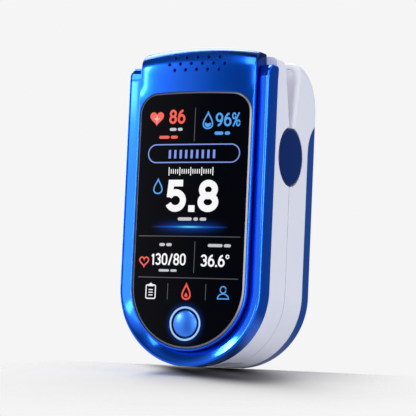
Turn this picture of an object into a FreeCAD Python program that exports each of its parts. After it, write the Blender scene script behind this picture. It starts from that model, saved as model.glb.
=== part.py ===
import FreeCAD
import Part
import math
import os
from FreeCAD import Vector

# Finger-clip meter, standing on its rounded end with the screen facing -Y.
# Sizes are millimetres. Depths run back from the front face of the cover, heights up from the feet.

# Outline of the body
plate_half_width = 13.3      # raised front cover
rim_band = 2.75              # rim beside the cover
shell_inset = 0.45           # white shells stand in from the rim
body_top = 65.6
plate_low = 3.05
plate_crown = 1.0            # rise of the arched upper edge
plate_shoulder = 6.1         # height over which the cover narrows at its top
plate_shoulder_inset = 0.15
plate_roll = 3.2             # the cover's upper edge rolls back
plate_edge = 0.45
skirt_wall = 1.2
foot_cut = 0.1               # flat that the rounded rim stands on
shell_foot_cut = 0.05
foot_reach = 5.0             # room below the feet that the flat cut clears

# Rim section
rim_lip_depth = 1.05
gutter_depth = 1.65
rim_lip = 0.75
rim_edge = 0.5
rim_drop = 3.7               # rim ends below the top of the cover
rim_roll = 2.5               # the rim's upper ends roll back too
rim_fit = 0.05

# Cover glass, screen and board, stacked behind the cover
lens_margin = 0.55
lens_drop = 9.3
lens_crown = 0.5
lens_corner = 4.3
lens_thickness = 1.0
lens_fit = 0.08
ledge_thickness = 0.9
window_inset = 1.85          # opening behind the glass
window_button_gap = 1.25     # opening ends above the button's flange
window_corner = 2.0
display_overlap = 0.45       # screen laps the opening
display_thickness = 1.6
board_thickness = 0.8
board_play = 0.2
board_room = 1.4             # room for parts on the back of the board
chip_height = 1.0
processor_size = 5.0
chip_gap = 0.8               # between the chips and the ribbon's socket
memory_width = 3.5
memory_height = 4.0
regulator_width = 2.5
regulator_height = 3.0
regulator_across = 6.75
regulator_rise = 3.2         # above the pivot
sensor_height = 1.1

# Sound holes, rows from the top down
dot_counts = (5, 6, 5)
dot_pitch = 2.51
dot_row_pitch = 1.28
dot_first_drop = 2.15
dot_radius = 0.36
dot_row_curve = 0.0035
sounder_side_gap = 1.9       # to the upper screw bosses
sounder_height = 4.9
sounder_gap = 2.0

# Button
button_rise = 5.6            # centre above the lower edge of the cover
button_radius = 2.7
button_proud = 0.4
button_crown = 0.4           # height of the dome above its straight side
button_clearance = 0.08
button_flange = 0.8
button_flange_thickness = 0.4
button_flange_gap = 0.05
button_travel = 0.35
ring_gap = 0.4               # between the button and the ring
ring_width = 0.4
ring_fit = 0.05
switch_half_width = 2.2
plunger_radius = 0.8
plunger_clearance = 0.05
plunger_length = 0.6
switch_stop_gap = 0.05

# Shells
shell_wall = 1.3
end_wall = 1.05              # below the space inside, at the rounded end
finger_wall = 1.2
front_depth = 14.5           # cover face to parting plane
parting_gap = 0.2
front_shell_drop = 1.0       # white shells end below the top of the cover
shell_drop = 0.3
shell_crown = 0.8
front_shell_corner = 1.4
rear_back_corner = 10.0
rear_edge = 2.6

# Pivot
pivot_drop = 21.3            # below the top of the cover
cap_radius = 6.0
cap_clearance = 0.25
cap_inside = 1.6             # part of the cap inside the shell's side
cap_proud = 0.25
cap_edge = 0.45
pin_radius = 0.75
pin_clearance = 0.05
pin_end_gap = 0.05
front_ear_thickness = 1.4
front_ear_radius = 2.8
rear_ear_thickness = 1.5
rear_ear_radius = 2.6
ear_gap = 0.15
spring_wire = 0.6
spring_pin_gap = 0.1
spring_turns = 4
spring_turn_gap = 0.45
spring_ear_gap = 0.6
spring_clearance = 0.2
front_leg_rise = 12.2        # end of the leg above the pivot
front_leg_gap = 0.28         # from the wall that it leans on
rear_leg_hidden = 0.6        # leg ends below the squeeze gap

# Squeeze gap above the pivot
v_apex_front = 1.0           # front half starts this far before the parting plane
v_apex_rear = 0.95
v_front_slope = 0.25
v_rear_slope = 0.183
v_plate_inset = 0.05
v_front_round = 0.3          # outer edges of the gap
v_rear_round = 0.9

# Finger channel
channel_half_width = 9.0
mouth_half_width = 6.0       # the jaws part further before a finger goes in
mouth_rise = 4.6
mouth_corner = 2.0
pad_side_gap = 0.2
pad_end_gap = 0.15
stop_ribbon_gap = 0.5        # finger stop ends below the ribbon's slot
pad_thickness = 1.0          # front pad at its middle
rear_pad_thickness = 0.6
finger_radius = 11.0
front_pad_rise = 4.1
rear_pad_rise = 2.6
stop_thickness = 1.2
stop_gap = 1.0               # finger stop ends before the parting plane
eye_height = 22.0            # light path through the finger
eye_half_width = 1.55
eye_half_height = 2.0
eye_fit = 0.05

# Battery cells, contacts and well
cell_radius = 5.25
well_drop = 12.7             # well ends below the top of the cover
cell_nub_radius = 1.9
cell_nub = 0.8
cell_gap = 0.3               # between the two cells
cell_play = 0.1
well_play = 0.3
well_wall = 1.1
cell_corner_gap = 0.58       # lower corner of a cell to the round end of the shell
well_end = 1.0
contact_sheet = 0.3
contact_half_width = 3.6
contact_spring_height = 1.6
contact_wire = 0.4
contact_spring_outer = 3.2
contact_spring_inner = 1.6
contact_turns = 2
frame_floor = 0.8
frame_fit = 0.05
frame_plate = 1.2
tab_length = 3.0
tab_reach = 0.65
tab_fit = 0.1
tab_spacing = 7.0            # tabs stand above and below the middle of the well
tab_middle_drop = 5.05

# Battery cover
cover_wall = 1.3
cover_side = 5.35            # depth of the cover's sides
cover_gap = 0.12
cover_corner = 7.0
cover_over_well = 0.2
lip_thickness = 0.9
lip_reach = 1.2
lip_fit = 0.15
lip_rise = 4.65              # above the round lower end
lip_drop = 10.1              # below the start of the cover's upper corner
foam_half_width = 1.6
foam_cell_gap = 0.25
foam_rise = 7.8              # from the lower end of the well
foam_drop = 6.9              # from its upper end

# Light source and ribbon in the valley between the cells
led_height = 0.7
emitter_board_thickness = 0.5
valley_gap = 0.2             # between the ribs and the cells
emitter_board_rise = 4.0
rib_thickness = 0.4
rib_gap = 0.05
ribbon_width = 2.0
ribbon_thickness = 0.2
ribbon_bend = 0.8
ribbon_drop = 3.5            # ribbon crosses this far under the pivot
ribbon_slot = 0.6
ribbon_slot_side = 0.6
socket_half_width = 2.6
socket_half_height = 1.0

# Screws
screw_radius = 0.7
screw_fit = 0.02
screw_hole_play = 0.1
screw_head_radius = 1.3
screw_head = 0.7
screw_head_play = 0.1
screw_length = 3.6
screw_slot = 0.35
screw_slot_reach = 0.9
boss_radius = 1.5
top_screw_inset = 3.3         # from the side and the top of the cover
top_screw_drop = 5.6
low_screw_inset = 4.0         # from the side and the lower edge of the cover
low_screw_rise = 7.25
rear_screw_inset = 5.3        # from the inner side and the top of the rear half
rear_screw_drop = 6.3
post_radius = 1.8
peg_radius = 0.9
peg_inset = 1.5               # from the edge of the board
low_peg_drop = 6.0            # below the light path
top_peg_rise = 5.7            # above the pivot

# Worked out from the driving dimensions
rim_half_width = plate_half_width + rim_band
shell_half_width = rim_half_width - shell_inset
inner_half_width = shell_half_width - shell_wall
lens_half_width = plate_half_width - lens_margin
lens_low = plate_low + lens_margin
lens_top = body_top - lens_drop
button_height = plate_low + button_rise
ring_radius = button_radius + ring_gap + ring_width
window_low = button_height + button_radius + button_flange + window_button_gap
window_half_width = lens_half_width - window_inset
window_top = lens_top - window_inset
rim_top = body_top - rim_drop
shell_top = body_top - shell_drop
front_shell_top = body_top - front_shell_drop
plate_thickness = lens_thickness + ledge_thickness
display_back = plate_thickness + display_thickness
board_back = display_back + board_thickness
shell_start = board_back + board_room
finger_face = shell_start + finger_wall
pivot_depth = front_depth
pivot_height = body_top - pivot_drop
spring_mean_radius = pin_radius + spring_pin_gap + spring_wire / 2
spring_pitch = spring_wire + spring_turn_gap
spring_outer = spring_mean_radius + spring_wire / 2
floor_face = pivot_depth + spring_outer + spring_clearance
floor_back = floor_face + frame_floor
cell_depth = floor_back + cell_play + cell_radius
cell_back = cell_depth + cell_radius
cover_face = cell_back + cell_play
depth = cover_face + cover_wall
cover_edge_depth = depth - cover_side
cell_offset = cell_radius + cell_gap / 2
well_half_width = cell_offset + cell_radius + well_play
round_height = inner_half_width + end_wall
cell_reach = cell_offset + cell_radius + cell_corner_gap
well_low = round_height - math.sqrt(inner_half_width ** 2 - cell_reach ** 2) - contact_sheet
well_top = body_top - well_drop
cell_length = well_top - well_low - 2 * contact_sheet - contact_spring_height
cover_top = well_top + cover_over_well
notch_radius = cap_radius + cap_clearance
v_apex = pivot_height + notch_radius - cap_clearance / 2
cap_face = shell_half_width - cap_inside
front_ear_inner = cap_face - front_ear_thickness
rear_ear_outer = front_ear_inner - ear_gap
rear_ear_inner = rear_ear_outer - rear_ear_thickness
spring_start = rear_ear_inner - spring_ear_gap - spring_wire / 2 - spring_pitch * (1 + spring_turns)
pad_half_width = channel_half_width - pad_side_gap
ribbon_height = pivot_height - ribbon_drop
pad_top = ribbon_height - ribbon_slot - stop_ribbon_gap - stop_thickness
pad_low = round_height - math.sqrt(inner_half_width ** 2 - pad_half_width ** 2) + pad_end_gap
led_back = floor_back + led_height
emitter_back = led_back + emitter_board_thickness
valley_half_width = cell_offset - math.sqrt((cell_radius + valley_gap) ** 2 - (cell_depth - emitter_back) ** 2)
emitter_board_half_width = valley_half_width - rib_thickness - rib_gap
frame_slope_low = max(well_top + well_end, pivot_height + rear_ear_radius + well_end)
board_half_width = plate_half_width - skirt_wall - board_play
sounder_half_width = plate_half_width - top_screw_inset - boss_radius - sounder_side_gap
front_screw_places = ((plate_half_width - top_screw_inset, body_top - top_screw_drop),
                      (plate_half_width - low_screw_inset, plate_low + low_screw_rise))
rear_screw_place = (inner_half_width - rear_screw_inset, body_top - rear_screw_drop)
peg_places = ((board_half_width - peg_inset, eye_height - low_peg_drop),
              (board_half_width - peg_inset, pivot_height + top_peg_rise))
frame_shift = Vector(0, -(depth - button_proud) / 2, 0)
beyond = 3.0                 # how far cutting tools run past what they cut
gap_points_per_turn = 48


def box(x0, x1, d0, d1, z0, z1):
    return Part.makeBox(x1 - x0, d1 - d0, z1 - z0, Vector(x0, d0, z0))


def rod(radius, start, end):
    along = end - start
    return Part.makeCylinder(radius, along.Length, start, along)


def both_sides(solid):
    return [solid, solid.mirror(Vector(0, 0, 0), Vector(1, 0, 0))]


def edge_line(start, end):
    return Part.makeLine(start, end)


def edge_arc(start, middle, end):
    return Part.Arc(start, middle, end).toShape()


def crown_edge(half, top, crown, d):
    right = Vector(half, d, top - crown)
    left = Vector(-half, d, top - crown)
    if crown == 0:
        return edge_line(right, left)
    return edge_arc(right, Vector(0, d, top), left)


def u_face(half, low, top, crown, d):
    # Half-round lower end, straight sides and a crowned upper edge.
    left = Vector(-half, d, low + half)
    right = Vector(half, d, low + half)
    edges = [edge_arc(left, Vector(0, d, low), right),
             edge_line(right, Vector(half, d, top - crown)),
             crown_edge(half, top, crown, d),
             edge_line(Vector(-half, d, top - crown), left)]
    return Part.Face(Part.Wire(edges))


def u_block(half, low, top, crown, d0, d1):
    return u_face(half, low, top, crown, d0).extrude(Vector(0, d1 - d0, 0))


def cover_block(grow, d0, d1):
    # The raised cover's outline, which narrows towards its arched top; grow offsets it outwards.
    half = plate_half_width + grow
    low = plate_low - grow
    top = body_top + grow
    top_half = half - plate_shoulder_inset
    corner_z = top - plate_crown
    shoulder_z = corner_z - plate_shoulder
    bend = (plate_shoulder_inset ** 2 + plate_shoulder ** 2) / (2 * plate_shoulder_inset)
    half_turn = math.asin(plate_shoulder / bend) / 2
    middle_x = half - bend * (1 - math.cos(half_turn))
    middle_z = shoulder_z + bend * math.sin(half_turn)
    left = Vector(-half, d0, low + half)
    right = Vector(half, d0, low + half)
    left_shoulder = Vector(-half, d0, shoulder_z)
    right_shoulder = Vector(half, d0, shoulder_z)
    left_corner = Vector(-top_half, d0, corner_z)
    right_corner = Vector(top_half, d0, corner_z)
    edges = [edge_arc(left, Vector(0, d0, low), right),
             edge_line(right, right_shoulder),
             edge_arc(right_shoulder, Vector(middle_x, d0, middle_z), right_corner),
             crown_edge(top_half, top, plate_crown, d0),
             edge_arc(left_corner, Vector(-middle_x, d0, middle_z), left_shoulder),
             edge_line(left_shoulder, left)]
    return Part.Face(Part.Wire(edges)).extrude(Vector(0, d1 - d0, 0))


def side_prism(points, half):
    # Polygon of (depth, height) corners, carried across the width.
    corners = [Vector(-half, d, z) for d, z in points]
    face = Part.Face(Part.makePolygon(corners + corners[:1]))
    return face.extrude(Vector(2 * half, 0, 0))


def round_depth_edges(solid, radius, wanted):
    # Rounds the edges that run along the depth and whose middle is wanted.
    chosen = []
    for edge in solid.Edges:
        along = edge.Vertexes[-1].Point - edge.Vertexes[0].Point
        straight = abs(along.x) < 1e-6 and abs(along.z) < 1e-6 and abs(along.y) > 1e-6
        if straight and wanted(edge.CenterOfMass):
            chosen.append(edge)
    return solid.makeFillet(radius, chosen)


def round_face_edges(solid, radius, d, wanted):
    # Rounds the edges that lie in the plane of depth d and whose middle is wanted.
    chosen = []
    for edge in solid.Edges:
        flat = abs(edge.BoundBox.YMin - d) < 1e-6 and abs(edge.BoundBox.YMax - d) < 1e-6
        if flat and wanted(edge.CenterOfMass):
            chosen.append(edge)
    return solid.makeFillet(radius, chosen)


def foot_tool():
    reach = rim_half_width + beyond
    return box(-reach, reach, -beyond, depth + beyond, -foot_reach, 0)


def lens_block(grow, d0, d1):
    block = u_block(lens_half_width + grow, lens_low - grow, lens_top + grow, lens_crown, d0, d1)
    return round_depth_edges(block, lens_corner + grow, lambda c: c.z > window_low)


def window_block(grow, d0, d1):
    half = window_half_width + grow
    block = box(-half, half, d0, d1, window_low - grow, window_top + grow)
    return round_depth_edges(block, window_corner, lambda c: True)


def mirrored_places(places):
    return [(side * x, z) for x, z in places for side in (-1, 1)]


def depth_rods(radius, places, d0, d1):
    return [rod(radius, Vector(x, d0, z), Vector(x, d1, z)) for x, z in places]


def dot_places():
    # Staggered rows that follow the arch of the cover's upper edge.
    places = []
    for row, count in enumerate(dot_counts):
        row_z = body_top - dot_first_drop - row * dot_row_pitch
        for i in range(count):
            x = (i - (count - 1) / 2) * dot_pitch
            places.append((x, row_z - dot_row_curve * x * x))
    return places


def make_front_cover():
    body = cover_block(0, 0, shell_start)
    body = round_face_edges(body, plate_roll, 0, lambda c: c.z > body_top - plate_crown)
    body = round_face_edges(body, plate_edge, 0, lambda c: c.z < body_top - plate_crown - plate_roll)
    body = body.cut(cover_block(-skirt_wall, plate_thickness, shell_start + beyond))
    places = mirrored_places(front_screw_places)
    bosses = depth_rods(boss_radius, places, plate_thickness, shell_start)
    body = body.fuse(bosses).common(cover_block(0, -beyond, shell_start)).removeSplitter()
    body = body.cut(lens_block(lens_fit, -beyond, lens_thickness))
    body = body.cut(window_block(0, 0, plate_thickness + beyond))
    button_axis = [(0, button_height)]
    body = body.cut(depth_rods(button_radius + button_clearance, button_axis, 0, plate_thickness + beyond))
    body = body.cut(depth_rods(dot_radius, dot_places(), -beyond, plate_thickness + beyond))
    pilot_end = finger_face - screw_head - screw_length - screw_radius
    return body.cut(depth_rods(screw_radius + screw_fit, places, pilot_end, shell_start + beyond))


def make_rim_frame():
    body = u_block(rim_half_width, -foot_cut, rim_top, 0, rim_lip_depth, shell_start)
    body = round_face_edges(body, rim_roll, rim_lip_depth, lambda c: c.z > rim_top - rim_roll)
    body = round_face_edges(body, rim_edge, rim_lip_depth, lambda c: c.z < rim_top - rim_roll)
    high = body_top + beyond
    deep_wire = u_face(plate_half_width + rim_fit, plate_low - rim_fit, high, 0, gutter_depth).OuterWire
    lip_wire = u_face(rim_half_width - rim_lip, rim_lip, high, 0, rim_lip_depth).OuterWire
    gutter = Part.makeLoft([deep_wire, lip_wire], True, True)
    body = body.cut(cover_block(rim_fit, -beyond, shell_start + beyond))
    return body.cut(gutter).cut(foot_tool())


def make_display_lens():
    body = lens_block(0, 0, lens_thickness)
    hole = depth_rods(ring_radius + ring_fit, [(0, button_height)], -beyond, lens_thickness + beyond)
    return body.cut(hole)


def make_button_light_ring():
    axis = [(0, button_height)]
    body = depth_rods(ring_radius, axis, 0, lens_thickness)[0]
    return body.cut(depth_rods(ring_radius - ring_width, axis, -beyond, lens_thickness + beyond))


def make_display_module():
    return window_block(display_overlap, plate_thickness, display_back)


def make_main_board():
    grow = -skirt_wall - board_play
    body = cover_block(grow, display_back, board_back)
    places = mirrored_places(front_screw_places)
    return body.cut(depth_rods(boss_radius + board_play, places, display_back - beyond, board_back + beyond))


def make_board_chips():
    back = board_back + chip_height
    middle = (eye_height + ribbon_height) / 2
    inner = socket_half_width + chip_gap

    def chip(x0, width, centre_z, height):
        return box(x0, x0 + width, board_back, back, centre_z - height / 2, centre_z + height / 2)

    processor = chip(-inner - processor_size, processor_size, middle, processor_size)
    memory = chip(inner, memory_width, middle, memory_height)
    regulator = chip(-regulator_across - regulator_width / 2, regulator_width,
                     pivot_height + regulator_rise, regulator_height)
    return Part.makeCompound([processor, memory, regulator])


def make_sounder():
    low = window_top + display_overlap + sounder_gap
    body = box(-sounder_half_width, sounder_half_width, plate_thickness, display_back,
               low, low + sounder_height)
    return round_depth_edges(body, window_corner / 2, lambda c: True)


def switch_front():
    return plate_thickness + button_flange_gap + button_flange_thickness + button_travel + switch_stop_gap


def plunger_front():
    return plate_thickness + button_flange_gap + button_flange_thickness


def make_power_switch():
    half = switch_half_width
    body = box(-half, half, switch_front(), display_back, button_height - half, button_height + half)
    bore_end = plunger_front() + plunger_length + button_travel + plunger_clearance
    bore = depth_rods(plunger_radius + plunger_clearance, [(0, button_height)], 0, bore_end)
    return body.cut(bore)


def make_switch_plunger():
    front = plunger_front()
    return depth_rods(plunger_radius, [(0, button_height)], front, front + plunger_length)[0]


def make_power_button():
    axis = [(0, button_height)]
    flange_front = plate_thickness + button_flange_gap
    flange_back = flange_front + button_flange_thickness
    side_front = button_crown - button_proud
    stem = depth_rods(button_radius, axis, side_front, flange_back)[0]
    flange = depth_rods(button_radius + button_flange, axis, flange_front, flange_back)[0]
    flange = flange.common(cover_block(-skirt_wall - button_clearance, flange_front, flange_back))
    dome_radius = (button_radius ** 2 + button_crown ** 2) / (2 * button_crown)
    ball = Part.makeSphere(dome_radius, Vector(0, dome_radius - button_proud, button_height))
    dome = ball.common(depth_rods(button_radius, axis, -button_proud - beyond, side_front)[0])
    return stem.fuse([flange, dome]).removeSplitter()


def make_light_sensor():
    half = eye_half_width - board_play
    return box(-half, half, board_back, board_back + sensor_height,
               eye_height - half, eye_height + half)


def eye_block(grow, d0, d1):
    half = eye_half_width + grow
    tall = eye_half_height + grow
    return box(-half, half, d0, d1, eye_height - tall, eye_height + tall)


def make_sensor_window():
    return eye_block(0, shell_start, finger_face + pad_thickness)


def make_flex_socket():
    return box(-socket_half_width, socket_half_width, board_back, board_back + sensor_height,
               ribbon_height - socket_half_height, ribbon_height + socket_half_height)


def ribbon_slot_block(d0, d1):
    half = ribbon_width / 2 + ribbon_slot_side
    return box(-half, half, d0, d1, ribbon_height - ribbon_slot, ribbon_height + ribbon_slot)


def mouth_block(d0, d1):
    return box(-mouth_half_width, mouth_half_width, d0, d1, -beyond, mouth_rise)


def notch_rod():
    reach = rim_half_width + beyond
    start = Vector(-reach, pivot_depth, pivot_height)
    notch = rod(notch_radius, start, Vector(reach, pivot_depth, pivot_height))
    middle = box(-cap_face, cap_face, pivot_depth - notch_radius - beyond,
                 pivot_depth + notch_radius + beyond, pivot_height - notch_radius - beyond,
                 pivot_height + notch_radius + beyond)
    return notch.cut(middle)


def squeeze_front():
    # Space behind the front half's sloping edges.
    reach = rim_half_width + beyond
    high = body_top + beyond
    apex = front_depth - v_apex_front
    return side_prism([(apex, v_apex), (apex - v_front_slope * (high - v_apex), high),
                       (depth, high), (depth, v_apex)], reach)


def squeeze_rear():
    # Space before the rear half's sloping edges.
    reach = rim_half_width + beyond
    high = body_top + beyond
    apex = front_depth + v_apex_rear
    return side_prism([(apex, v_apex), (apex + v_rear_slope * (high - v_apex), high),
                       (0, high), (0, v_apex)], reach)


def round_gap_edges(body, radius, apex, slope, top):
    # Rounds the outer edges of the sloping faces in the squeeze gap.
    chosen = []
    for edge in body.Edges:
        middle = edge.CenterOfMass
        on_slope = all(abs(v.Point.y - apex - slope * (v.Point.z - v_apex)) < 1e-5 for v in edge.Vertexes)
        outside = abs(middle.x) > inner_half_width or middle.z > top - shell_wall
        if on_slope and outside and edge.BoundBox.ZLength > 1e-6:
            chosen.append(edge)
    return body.makeFillet(radius, chosen)


def front_ear():
    reach_low = pivot_height - front_ear_radius
    reach_high = pivot_height + front_ear_radius
    arm = box(front_ear_inner, cap_face, finger_face, pivot_depth, reach_low, reach_high)
    knuckle = rod(front_ear_radius, Vector(front_ear_inner, pivot_depth, pivot_height),
                  Vector(cap_face, pivot_depth, pivot_height))
    bore = rod(pin_radius + pin_clearance, Vector(front_ear_inner - beyond, pivot_depth, pivot_height),
               Vector(cap_face + beyond, pivot_depth, pivot_height))
    return arm.fuse(knuckle).removeSplitter().cut(bore)


def make_front_shell():
    edge = front_depth - parting_gap / 2
    body = u_block(shell_half_width, -shell_foot_cut, front_shell_top, shell_crown, shell_start, edge)
    body = round_depth_edges(body, front_shell_corner, lambda c: c.z > rim_top)
    hollow = u_block(inner_half_width, end_wall, front_shell_top - shell_wall, shell_crown,
                     finger_face, edge + beyond)
    mouth = round_mouth(mouth_block(finger_face, edge + beyond), finger_face)
    body = body.cut([hollow, mouth, notch_rod(), squeeze_front(), foot_tool()])
    body = round_gap_edges(body, v_front_round, front_depth - v_apex_front, -v_front_slope, front_shell_top)
    pegs = depth_rods(peg_radius, mirrored_places(peg_places), board_back, shell_start)
    body = body.fuse(both_sides(front_ear()) + pegs).removeSplitter()
    body = body.cut([eye_block(eye_fit, 0, finger_face + beyond), ribbon_slot_block(0, finger_face + beyond)])
    places = mirrored_places(front_screw_places)
    head_seat = finger_face - screw_head
    body = body.cut(depth_rods(screw_radius + screw_hole_play, places, 0, finger_face + beyond))
    return body.cut(depth_rods(screw_head_radius + screw_head_play, places, head_seat, finger_face + beyond))


def round_mouth(block, d):
    # Rounds the upright edges of the mouth on the side of depth d.
    chosen = []
    for edge in block.Edges:
        upright = edge.BoundBox.ZLength > mouth_rise / 2
        if upright and abs(edge.CenterOfMass.y - d) < 1e-6:
            chosen.append(edge)
    return block.makeFillet(mouth_corner, chosen)


def make_front_finger_pad():
    half = pad_half_width
    body = box(-half, half, finger_face, finger_face + front_pad_rise, pad_low, pad_top)
    groove_axis = finger_face + pad_thickness + finger_radius
    groove = rod(finger_radius, Vector(0, groove_axis, pad_low - beyond), Vector(0, groove_axis, pad_top + beyond))
    body = body.cut(groove)
    stop = box(-half, half, finger_face, front_depth - stop_gap, pad_top, pad_top + stop_thickness)
    return body.fuse(stop).removeSplitter().cut(eye_block(eye_fit, 0, front_depth))


def make_screw(x, z, head_front, towards):
    # A screw along the depth; its head's outer face is at head_front and its shank runs towards +1 or -1.
    face = Vector(x, head_front, z)
    neck = face + Vector(0, towards * screw_head, 0)
    tip = neck + Vector(0, towards * screw_length, 0)
    point = tip + Vector(0, towards * screw_radius, 0)
    body = rod(screw_head_radius, face, neck).fuse(rod(screw_radius, neck, tip))
    body = body.fuse(Part.makeCone(screw_radius, 0, screw_radius, tip, point - tip))
    slot_depth = screw_head / 2
    reach = screw_slot_reach
    low_d = min(head_front, head_front + towards * slot_depth)
    for half_x, half_z in ((reach, screw_slot / 2), (screw_slot / 2, reach)):
        body = body.cut(box(x - half_x, x + half_x, low_d, low_d + slot_depth, z - half_z, z + half_z))
    return body


def make_front_screws():
    places = mirrored_places(front_screw_places)
    return Part.makeCompound([make_screw(x, z, finger_face, -1) for x, z in places])


def make_hinge_cap():
    start = Vector(cap_face, pivot_depth, pivot_height)
    end = Vector(shell_half_width + cap_proud, pivot_depth, pivot_height)
    body = rod(cap_radius, start, end)
    rim = [edge for edge in body.Edges if edge.BoundBox.XMin > end.x - 1e-6]
    return body.makeFillet(cap_edge, rim)


def make_hinge_pin():
    reach = cap_face - pin_end_gap
    return rod(pin_radius, Vector(-reach, pivot_depth, pivot_height), Vector(reach, pivot_depth, pivot_height))


def biarc(start, start_way, end, end_way):
    # Two arcs that leave start along start_way and reach end along end_way, joined smoothly.
    chord = end - start
    ways = start_way + end_way
    a = 2 - 2 * start_way.dot(end_way)
    b = 2 * chord.dot(ways)
    reach = (-b + math.sqrt(b * b + 4 * a * chord.dot(chord))) / (2 * a)
    first = start + start_way * reach
    second = end - end_way * reach
    joint = (first + second) * 0.5
    return [arc_in_corner(start, first, joint), arc_in_corner(joint, second, end)]


def arc_in_corner(start, corner, end):
    # The arc from start to end whose end tangents meet at corner.
    middle = (start + end) * 0.5
    half_chord = (end - start).Length / 2
    lift = corner - middle
    turn = math.atan2(lift.Length, half_chord)
    return edge_arc(start, middle + lift * (half_chord * math.tan(turn / 2) / lift.Length), end)


def wire_tube(edges, radius):
    path = Part.Wire(edges)
    first = edges[0]
    start = first.valueAt(first.FirstParameter)
    ring = Part.Wire(Part.makeCircle(radius, start, first.tangentAt(first.FirstParameter)))
    shell = Part.BRepOffsetAPI.MakePipeShell(path)
    shell.add(ring)
    shell.build()
    shell.makeSolid()
    return shell.shape()


def helix_edges(place, way, first_turn, last_turn):
    # Biarcs of a quarter turn along the curve place(turn) with unit direction way(turn).
    steps = math.ceil((last_turn - first_turn) * 4)
    turns = [first_turn + (last_turn - first_turn) * i / steps for i in range(steps + 1)]
    edges = []
    for begin, finish in zip(turns, turns[1:]):
        edges += biarc(place(begin), way(begin), place(finish), way(finish))
    return edges


def turn_gap(place, first_turn, last_turn, wire):
    # Least gap between one turn of the wire and the next, measured on points of its centre line.
    count = gap_points_per_turn
    steps = int((last_turn - first_turn) * count)
    points = [place(first_turn + i / count) for i in range(steps + 1)]
    least = min((points[j] - points[i]).Length for i in range(steps + 1)
                for j in range(i + count // 2, steps + 1))
    return round(least - wire, 3)


def make_hinge_spring():
    # Torsion spring round the pin: one leg leans on the front half, the other on the rear frame.
    def place(turn):
        angle = 2 * math.pi * turn
        return Vector(spring_start + spring_pitch * turn, pivot_depth + spring_mean_radius * math.cos(angle),
                      pivot_height + spring_mean_radius * math.sin(angle))

    def way(turn):
        angle = 2 * math.pi * turn
        around = 2 * math.pi * spring_mean_radius
        course = Vector(spring_pitch, -around * math.sin(angle), around * math.cos(angle))
        return course.normalize()

    # The front leg leaves the coil on the tangent that ends beside the front wall.
    forward = pivot_depth - finger_face - spring_wire / 2 - front_leg_gap
    away = math.hypot(forward, front_leg_rise)
    lean = math.atan2(forward, front_leg_rise) - math.asin(spring_mean_radius / away)
    front_leg_length = math.sqrt(away ** 2 - spring_mean_radius ** 2)
    rear_leg_length = min(v_apex, frame_slope_low - well_end) - pivot_height - rear_leg_hidden
    first_turn = 0.5 + lean / (2 * math.pi)
    last_turn = 1.0 + spring_turns
    front_end = place(first_turn) - way(first_turn) * front_leg_length
    rear_end = place(last_turn) + way(last_turn) * rear_leg_length
    edges = [edge_line(front_end, place(first_turn))]
    edges += helix_edges(place, way, first_turn, last_turn)
    edges.append(edge_line(place(last_turn), rear_end))
    print("hinge spring, least gap", turn_gap(place, first_turn, last_turn, spring_wire))
    return wire_tube(edges, spring_wire / 2)


def rear_block(inset, low, back_inset, start):
    # The rear half and its cover as one block, rounded at the back; the insets give the space inside it.
    half = shell_half_width - inset
    back = depth - back_inset
    body = u_block(half, low, shell_top - inset, shell_crown, start, back)
    body = round_face_edges(body, rear_back_corner - inset, back, lambda c: c.z > pivot_height + notch_radius)
    chain = []
    for edge in body.Edges:
        middle = edge.CenterOfMass
        beside = abs(abs(middle.x) - half) < 1e-4
        below = abs(edge.BoundBox.YMin - back) < 1e-6 and middle.z < shell_half_width
        along = edge.BoundBox.ZLength < 1e-6 and middle.z < pivot_height
        parting = abs(edge.BoundBox.YMax - start) < 1e-6
        if (beside or below) and not along and not parting:
            chain.append(edge)
    return body.makeFillet(rear_edge - inset, chain)


def rear_outer():
    return rear_block(0, -shell_foot_cut, 0, front_depth + parting_gap / 2)


def rear_hollow():
    return rear_block(shell_wall, end_wall, cover_wall, front_depth - beyond)


def cover_zone(grow):
    # The block of space that the battery cover takes up, seen from the side; its upper corner is an arc.
    front = cover_edge_depth - grow
    high = cover_top + grow
    bend = cover_corner + grow
    centre_d = front + bend
    centre_z = high - bend
    reach = rim_half_width + beyond
    far = max(depth, centre_d) + beyond
    slant = math.sqrt(0.5) * bend
    low_front = Vector(-reach, front, -foot_reach)
    high_front = Vector(-reach, front, centre_z)
    middle = Vector(-reach, centre_d - slant, centre_z + slant)
    top_front = Vector(-reach, centre_d, high)
    top_back = Vector(-reach, far, high)
    low_back = Vector(-reach, far, -foot_reach)
    edges = [edge_line(low_front, high_front), edge_arc(high_front, middle, top_front),
             edge_line(top_front, top_back), edge_line(top_back, low_back), edge_line(low_back, low_front)]
    return Part.Face(Part.Wire(edges)).extrude(Vector(2 * reach, 0, 0))


def plate_depth(z):
    # Front face of the sloping plate in the squeeze gap.
    return front_depth + v_apex_rear + v_plate_inset + v_rear_slope * (z - v_apex)


def tab_blocks(fit):
    blocks = []
    middle = (well_low + well_top) / 2 - tab_middle_drop
    for z in (middle - tab_spacing, middle + tab_spacing):
        half = tab_length / 2 + fit
        reach = inner_half_width + tab_reach + fit
        blocks += both_sides(box(inner_half_width - shell_wall, reach, floor_face - fit, floor_back + fit,
                                 z - half, z + half))
    return blocks


def post_rods(radius, d0, d1):
    return depth_rods(radius, mirrored_places([rear_screw_place]), d0, d1)


def behind_plate():
    # Space behind the sloping plate, where the screw posts may stand.
    reach = rim_half_width + beyond
    high = body_top + beyond
    low = frame_slope_low - well_end
    return side_prism([(plate_depth(low) + frame_plate, low), (plate_depth(high) + frame_plate, high),
                       (depth, high), (depth, low)], reach)


def screw_seat():
    return plate_depth(rear_screw_place[1]) + frame_plate / 2


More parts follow.
